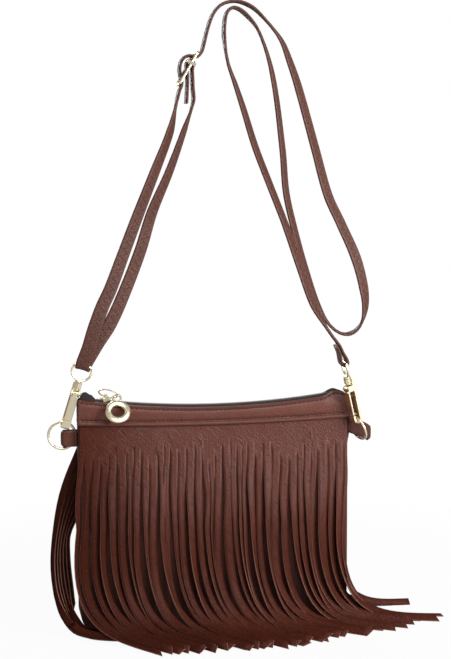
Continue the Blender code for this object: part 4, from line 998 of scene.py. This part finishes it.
def strap_route():
    """The whole strap, as in the model."""
    route = by_adjuster(
        (14, -31), (9.5, -22), (5, -13.5), (1.2, -7.3), (-1.6, -3.6), (-2.8, -0.2), (-1.95, 2),
        (0, 2.8), (1.95, 2), (2.8, -0.5), (4.6, -4.5), (7.5, -9), (12.5, -17), (18.3, -26))
    route += over_bag(
        (-25, 3, 441, 26), (-38, 5, 405, 40), (-53, 6, 370, 54), (-63, 6.5, 338, 62),
        (-77, 6.5, 302, 68), (-90, 6, 274, 76))
    route += by_left_eye(
        (5, -22.6, 6.8), (3.8, -11.7, 3.9), (2.8, -3, 1.6), (2.75, 0, 1.1), (1.95, 1.95, 0.8),
        (0, 2.75, 0), (-1.95, 1.95, -0.8), (-2.75, 0, -1.1), (-2.9, -4, -1.2))
    route += [(by_left_eye((-4.5, -16, -0.6))[0][0], leaning(88))]
    route += over_bag(
        (-105, -6, 271, 82), (-98, -6.5, 290, 76), (-91, -6.5, 305, 70),
        (-78, -6.5, 339, 62), (-66, -6, 370, 56), (-52, -6, 405, 48), (-38, -3, 440, 34))
    route += by_adjuster(
        (5.2, -31), (3.3, -24), (2.9, -20.4), (0.8, -16.3), (-2.4, -12.9), (-5.2, -9.4), (-7.1, -5),
        (-7.5, -0.5), (-6, 3.3), (-3.2, 5.6), (0, 6.4), (2.3, 7.9), (3.3, 10.8), (3.4, 15))
    route += over_bag(
        (-5.5, 0, 526, 0), (-0.5, 0, 539, 0), (7, 0, 547, 0), (18.5, 0, 550, 0), (30, 0, 547, 0),
        (40, 0, 540, 8), (59, 2, 519, 26), (68, 3, 499, 36), (76, 4, 477, 42), (92, 6, 424, 46),
        (104, 7, 384, 50), (116, 7, 359, 54), (130, 6, 328, 58), (137.5, 6, 301, 52),
        (139, 6, 283, 36), (134, 6, 267, 14), (122, 6, 260, 0), (109, 6, 266, 10),
        (98, 5.5, 282, 22), (85, 5, 315, 32), (72, 4, 358, 35), (65, 3, 388, 34),
        (61.5, 2, 424, 32), (52, 1, 488, 26),
        (40, 0, 524, 14), (28.5, 0, 538.5, 0), (18, 0, 544.6, 0), (11.5, 0, 540.5, 0),
        (9.3, 0, 531, 0), (9, -1, 519, 0), (12, -3, 498, 14), (18, -5, 480, 24), (25, -6, 459, 30),
        (35, -7.5, 427, 34), (47, -9, 396, 35), (60, -11, 363, 35), (73, -13.5, 327, 44),
        (86, -15.5, 290, 40), (99, -17, 267, 12))
    route += by_right_eye(
        (-1, -16), (0.3, -9.5), (2.3, -4), (2.75, 0), (1.95, 1.95), (0, 2.75), (-1.95, 1.95),
        (-2.75, 0), (-2.7, -4), (-2.6, -9.5), (-3.9, -16))
    return route


def strap_stations():
    """(point, across, up) at short steps along the strap."""
    route = strap_route()
    points = [p for p, _ in route]
    fine = []
    for i in range(len(points) - 1):
        controls, leave, arrive = span_after(points, i)
        span = (points[i + 1] - points[i]).length
        steps = max(math.ceil(span / (4 * MM)), math.ceil(leave.angle(arrive) / 0.2), 1)
        for k in range(steps):
            fine.append((bezier(controls, k / steps), route[i][1].lerp(route[i + 1][1], k / steps)))
    fine.append(route[-1])
    stations = []
    for i, (point, across) in enumerate(fine):
        along = (fine[min(i + 1, len(fine) - 1)][0] - fine[max(i - 1, 0)][0]).normalized()
        across = square_to(across, along)
        stations.append((point, across, along.cross(across)))
    return stations


def make_strap():
    """A folded strip of leather with painted edges: flat faces, round sides."""
    half, thick = STRAP_WIDTH / 2, STRAP_THICKNESS / 2
    profile = [(-half, 0), (-half + 0.15 * MM, 0.55), (-half + 0.6 * MM, 0.86), (-half * 0.72, 1),
               (-half * 0.52, 0.9), (0, 0.98), (half * 0.52, 0.9), (half * 0.72, 1),
               (half - 0.6 * MM, 0.86), (half - 0.15 * MM, 0.55), (half, 0)]
    section = [(u, v * thick) for u, v in profile]
    section += [(u, -v * thick) for u, v in reversed(profile[1:-1])]
    work = bmesh.new()
    rings = []
    for point, across, up in strap_stations():
        rings.append([work.verts.new(point + across * u + up * v) for u, v in section])
    count = len(section)
    for first, second in zip(rings, rings[1:]):
        for k in range(count):
            n = (k + 1) % count
            face = work.faces.new((first[k], first[n], second[n], second[k]))
            face.material_index = 1 if k in (0, count - 1, 9, 10) else 0
    for ring in (list(reversed(rings[0])), rings[-1]):
        work.faces.new(ring).material_index = 1
    bmesh.ops.recalc_face_normals(work, faces=work.faces)
    strap = piece("long_strap", finished(work, "long_strap"), [STRAP_LEATHER, PAINTED_EDGE], "bag")
    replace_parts(strap, "strap")


def make_strap_stitches():
    """Zigzag stitching on both faces of the strap."""
    stations = strap_stations()
    travelled, places = 0.0, []
    for a, b in zip(stations, stations[1:]):
        span = (b[0] - a[0]).length
        while travelled < span:
            t = travelled / span
            places.append(tuple(p.lerp(q, t) for p, q in zip(a, b)))
            travelled += ZIGZAG_STEP / 2
        travelled -= span
    for name, face in (("strap_stitches_outside", 1), ("strap_stitches_inside", -1)):
        run = []
        for n, (point, across, up) in enumerate(places):
            corner = (1, 0, -1, 0)[n % 4]
            height = STRAP_THICKNESS / 2 * (0.9 if corner else 0.98) + ZIGZAG_THREAD * 0.1
            run.append(point + across * corner * ZIGZAG_WIDTH / 2 + up * face * height)
        mesh = tubes_mesh(name, [run], ZIGZAG_THREAD)
        piece(name, mesh, [BROWN_THREAD], "bag")


# Fittings

def make_round_ring(name, node, body, middle, normal):
    steps = 96
    run = [Vector((math.cos(a), math.sin(a), 0)) * RING_RADIUS
           for a in (2 * math.pi * k / steps for k in range(steps))]
    mesh = tubes_mesh(name, [run], RING_WIRE / 2, sides=20, closed=True)
    mesh.transform(Matrix.Translation(middle) @ normal.to_track_quat("Z", "Y").to_matrix().to_4x4())
    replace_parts(piece(name, mesh, [GOLD], body), node)


def make_rings():
    hook_point = LEFT_EYE + LEFT_DOWN * RING_IN_HOOK
    middle_x = -(HALF_WIDTH + 2 * GAP + RING_SEAT) - RING_RADIUS
    rise = math.sqrt(RING_RADIUS ** 2 - (hook_point.x - middle_x) ** 2)
    make_round_ring("left_round_ring", "left_ring", "ring_left",
                    Vector((middle_x, 0, hook_point.z - rise)), Y)
    chord = RIGHT_RING_IN_HOOK - RIGHT_RING_IN_TAB
    away = math.sqrt(RING_RADIUS ** 2 - chord.length_squared / 4)
    hangs = square_to(RIGHT_RING_HANGS, chord.normalized())
    make_round_ring("right_round_ring", "right_ring", "ring_right",
                    RIGHT_RING_IN_TAB + chord / 2 + hangs * away, chord.cross(hangs))


def gild_fittings():
    """The fittings keep their solids, in pale gold plate; the zip's stops match its coil."""
    fittings = ["zip_slider", "zip_ring", "zip_pull", "strap_adjuster"]
    fittings += [f"{end}_{part}" for end in ("left", "right")
                 for part in ("hook_eye", "hook", "hook_gate", "gate_pin")]
    stops = ["zip_bottom_stop", "zip_top_stop_front", "zip_top_stop_back"]
    for nodes, finish in ((fittings, GOLD), (stops, COIL_FINISH)):
        for node in nodes:
            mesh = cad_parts[node].data
            mesh.materials.clear()
            mesh.materials.append(finish)


# Floor, background and light

ROOM = 0.09  # how bright the surroundings are as a light
ROOM_IN_REFLECTIONS = 0.4
FLOOR_IN_REFLECTIONS = 0.4
FLOOR_EDGE = 3  # metres from the middle
FLOOR_GREY = (0.5, 0.5, 0.5)  # what catches the shadow
FLOOR_GLOW = 1.02
SHADOW_REACH = (0.25, 0.8)  # metres from the middle over which the shadow fades
GLOW_SHARE = 0.93  # of the floor near the bag


def seen_directly(finish):
    """1 for rays from the camera, some for reflections, 0 for light that falls on things."""
    camera, glossy, through = [finish.node("ShaderNodeLightPath", out=ray) for ray in (
        "Is Camera Ray", "Is Glossy Ray", "Is Transmission Ray")]
    return camera.math("MAXIMUM", glossy * FLOOR_IN_REFLECTIONS).math("MAXIMUM", through)


def make_floor():
    ends = (-FLOOR_EDGE, FLOOR_EDGE)
    rows = [[Vector((x, y, 0)) for x in ends] for y in ends]
    floor = add("floor", grid_mesh("floor", rows, Z))
    finish = Finish("white_floor", (0.92, 0.92, 0.92), 0.9)
    glow = finish.node("ShaderNodeEmission", None, {"Color": (1, 1, 1), "Strength": FLOOR_GLOW})
    matt = finish.node("ShaderNodeBsdfDiffuse", None, {"Color": FLOOR_GREY})
    away = finish.node("ShaderNodeVectorMath", {"operation": "LENGTH"}, {0: finish.place()}, 1)
    share = finish.step(away, *SHADOW_REACH) * (1 - GLOW_SHARE) + GLOW_SHARE
    finish.mix_shaders(seen_directly(finish) * share, matt, glow)
    floor.data.materials.append(finish.material)


def make_world():
    """Plain white to the eye, a soft grey room to reflections, and dimmer as a light."""
    world = bpy.data.worlds.new("studio")
    bpy.context.scene.world = world
    world.use_nodes = True
    tree = world.node_tree
    path = tree.nodes.new("ShaderNodeLightPath")
    room = tree.nodes["Background"]
    room.inputs["Color"].default_value = (1, 1, 1, 1)
    room.inputs["Strength"].default_value = ROOM
    surroundings = room.outputs[0]
    for ray, strength in (("Is Glossy Ray", ROOM_IN_REFLECTIONS), ("Is Transmission Ray", 1.0),
                          ("Is Camera Ray", 1.0)):
        white = tree.nodes.new("ShaderNodeBackground")
        white.inputs["Color"].default_value = (1, 1, 1, 1)
        white.inputs["Strength"].default_value = strength
        blend = tree.nodes.new("ShaderNodeMixShader")
        tree.links.new(path.outputs[ray], blend.inputs[0])
        tree.links.new(surroundings, blend.inputs[1])
        tree.links.new(white.outputs[0], blend.inputs[2])
        surroundings = blend.outputs[0]
    tree.links.new(surroundings, tree.nodes["World Output"].inputs["Surface"])


LIT_POINT = Vector((0, 0, 0.2))  # the softboxes are aimed at the bag's top


def make_lamp(name, place, size, watts):
    lamp = bpy.data.lights.new(name, "AREA")
    lamp.shape = "RECTANGLE"
    lamp.size, lamp.size_y = size
    lamp.energy = watts
    obj = add(name, lamp)
    obj.location = place
    obj.rotation_euler = (LIT_POINT - Vector(place)).to_track_quat("-Z", "Y").to_euler()


def make_lights():
    make_lamp("softbox_right", (1.0, -0.8, 0.55), (0.5, 0.7), 19)
    make_lamp("softbox_above", (0.25, -1.1, 1.25), (0.8, 0.6), 10)
    make_lamp("softbox_left", (-1.2, -1.1, 0.7), (0.6, 1.0), 1)
    make_lamp("softbox_behind", (-0.3, 1.3, 0.8), (0.8, 0.8), 11)


def build():
    sides = (("front", FRONT), ("back", BACK))
    for word, side in sides:
        make_panel(f"{word}_panel_leather", f"{word}_panel", side)
    make_gusset()
    make_lining()
    for word, side in sides:
        make_band(f"{word}_band_leather", f"{word}_band", side)
    for word, side in sides:
        make_band_stitches(f"{word}_band_stitches", side)
    for word, side in sides:
        make_tape(f"{word}_tape", f"zip_tape_{word}", side)
    for word, side in sides:
        make_teeth(f"{word}_teeth", f"zip_chain_{word}", side)
    make_front_fringe()
    make_back_fringe()
    make_tab("left_tab_leather", "left_tab", -1, middle=175.2 * MM, length=14.5 * MM,
             half_gap=2.4 * MM, droop=0, face=BAND_LEATHER_FINISH)
    # The right tab takes the darker leather as painted shade.
    make_tab("right_tab_leather", "right_tab", 1, middle=180.6 * MM, length=23.5 * MM,
             half_gap=5.6 * MM, droop=21, face=SHADED_LEATHER)
    make_strap()
    make_strap_stitches()
    make_rings()
    gild_fittings()


build()
make_floor()
make_world()
make_lights()
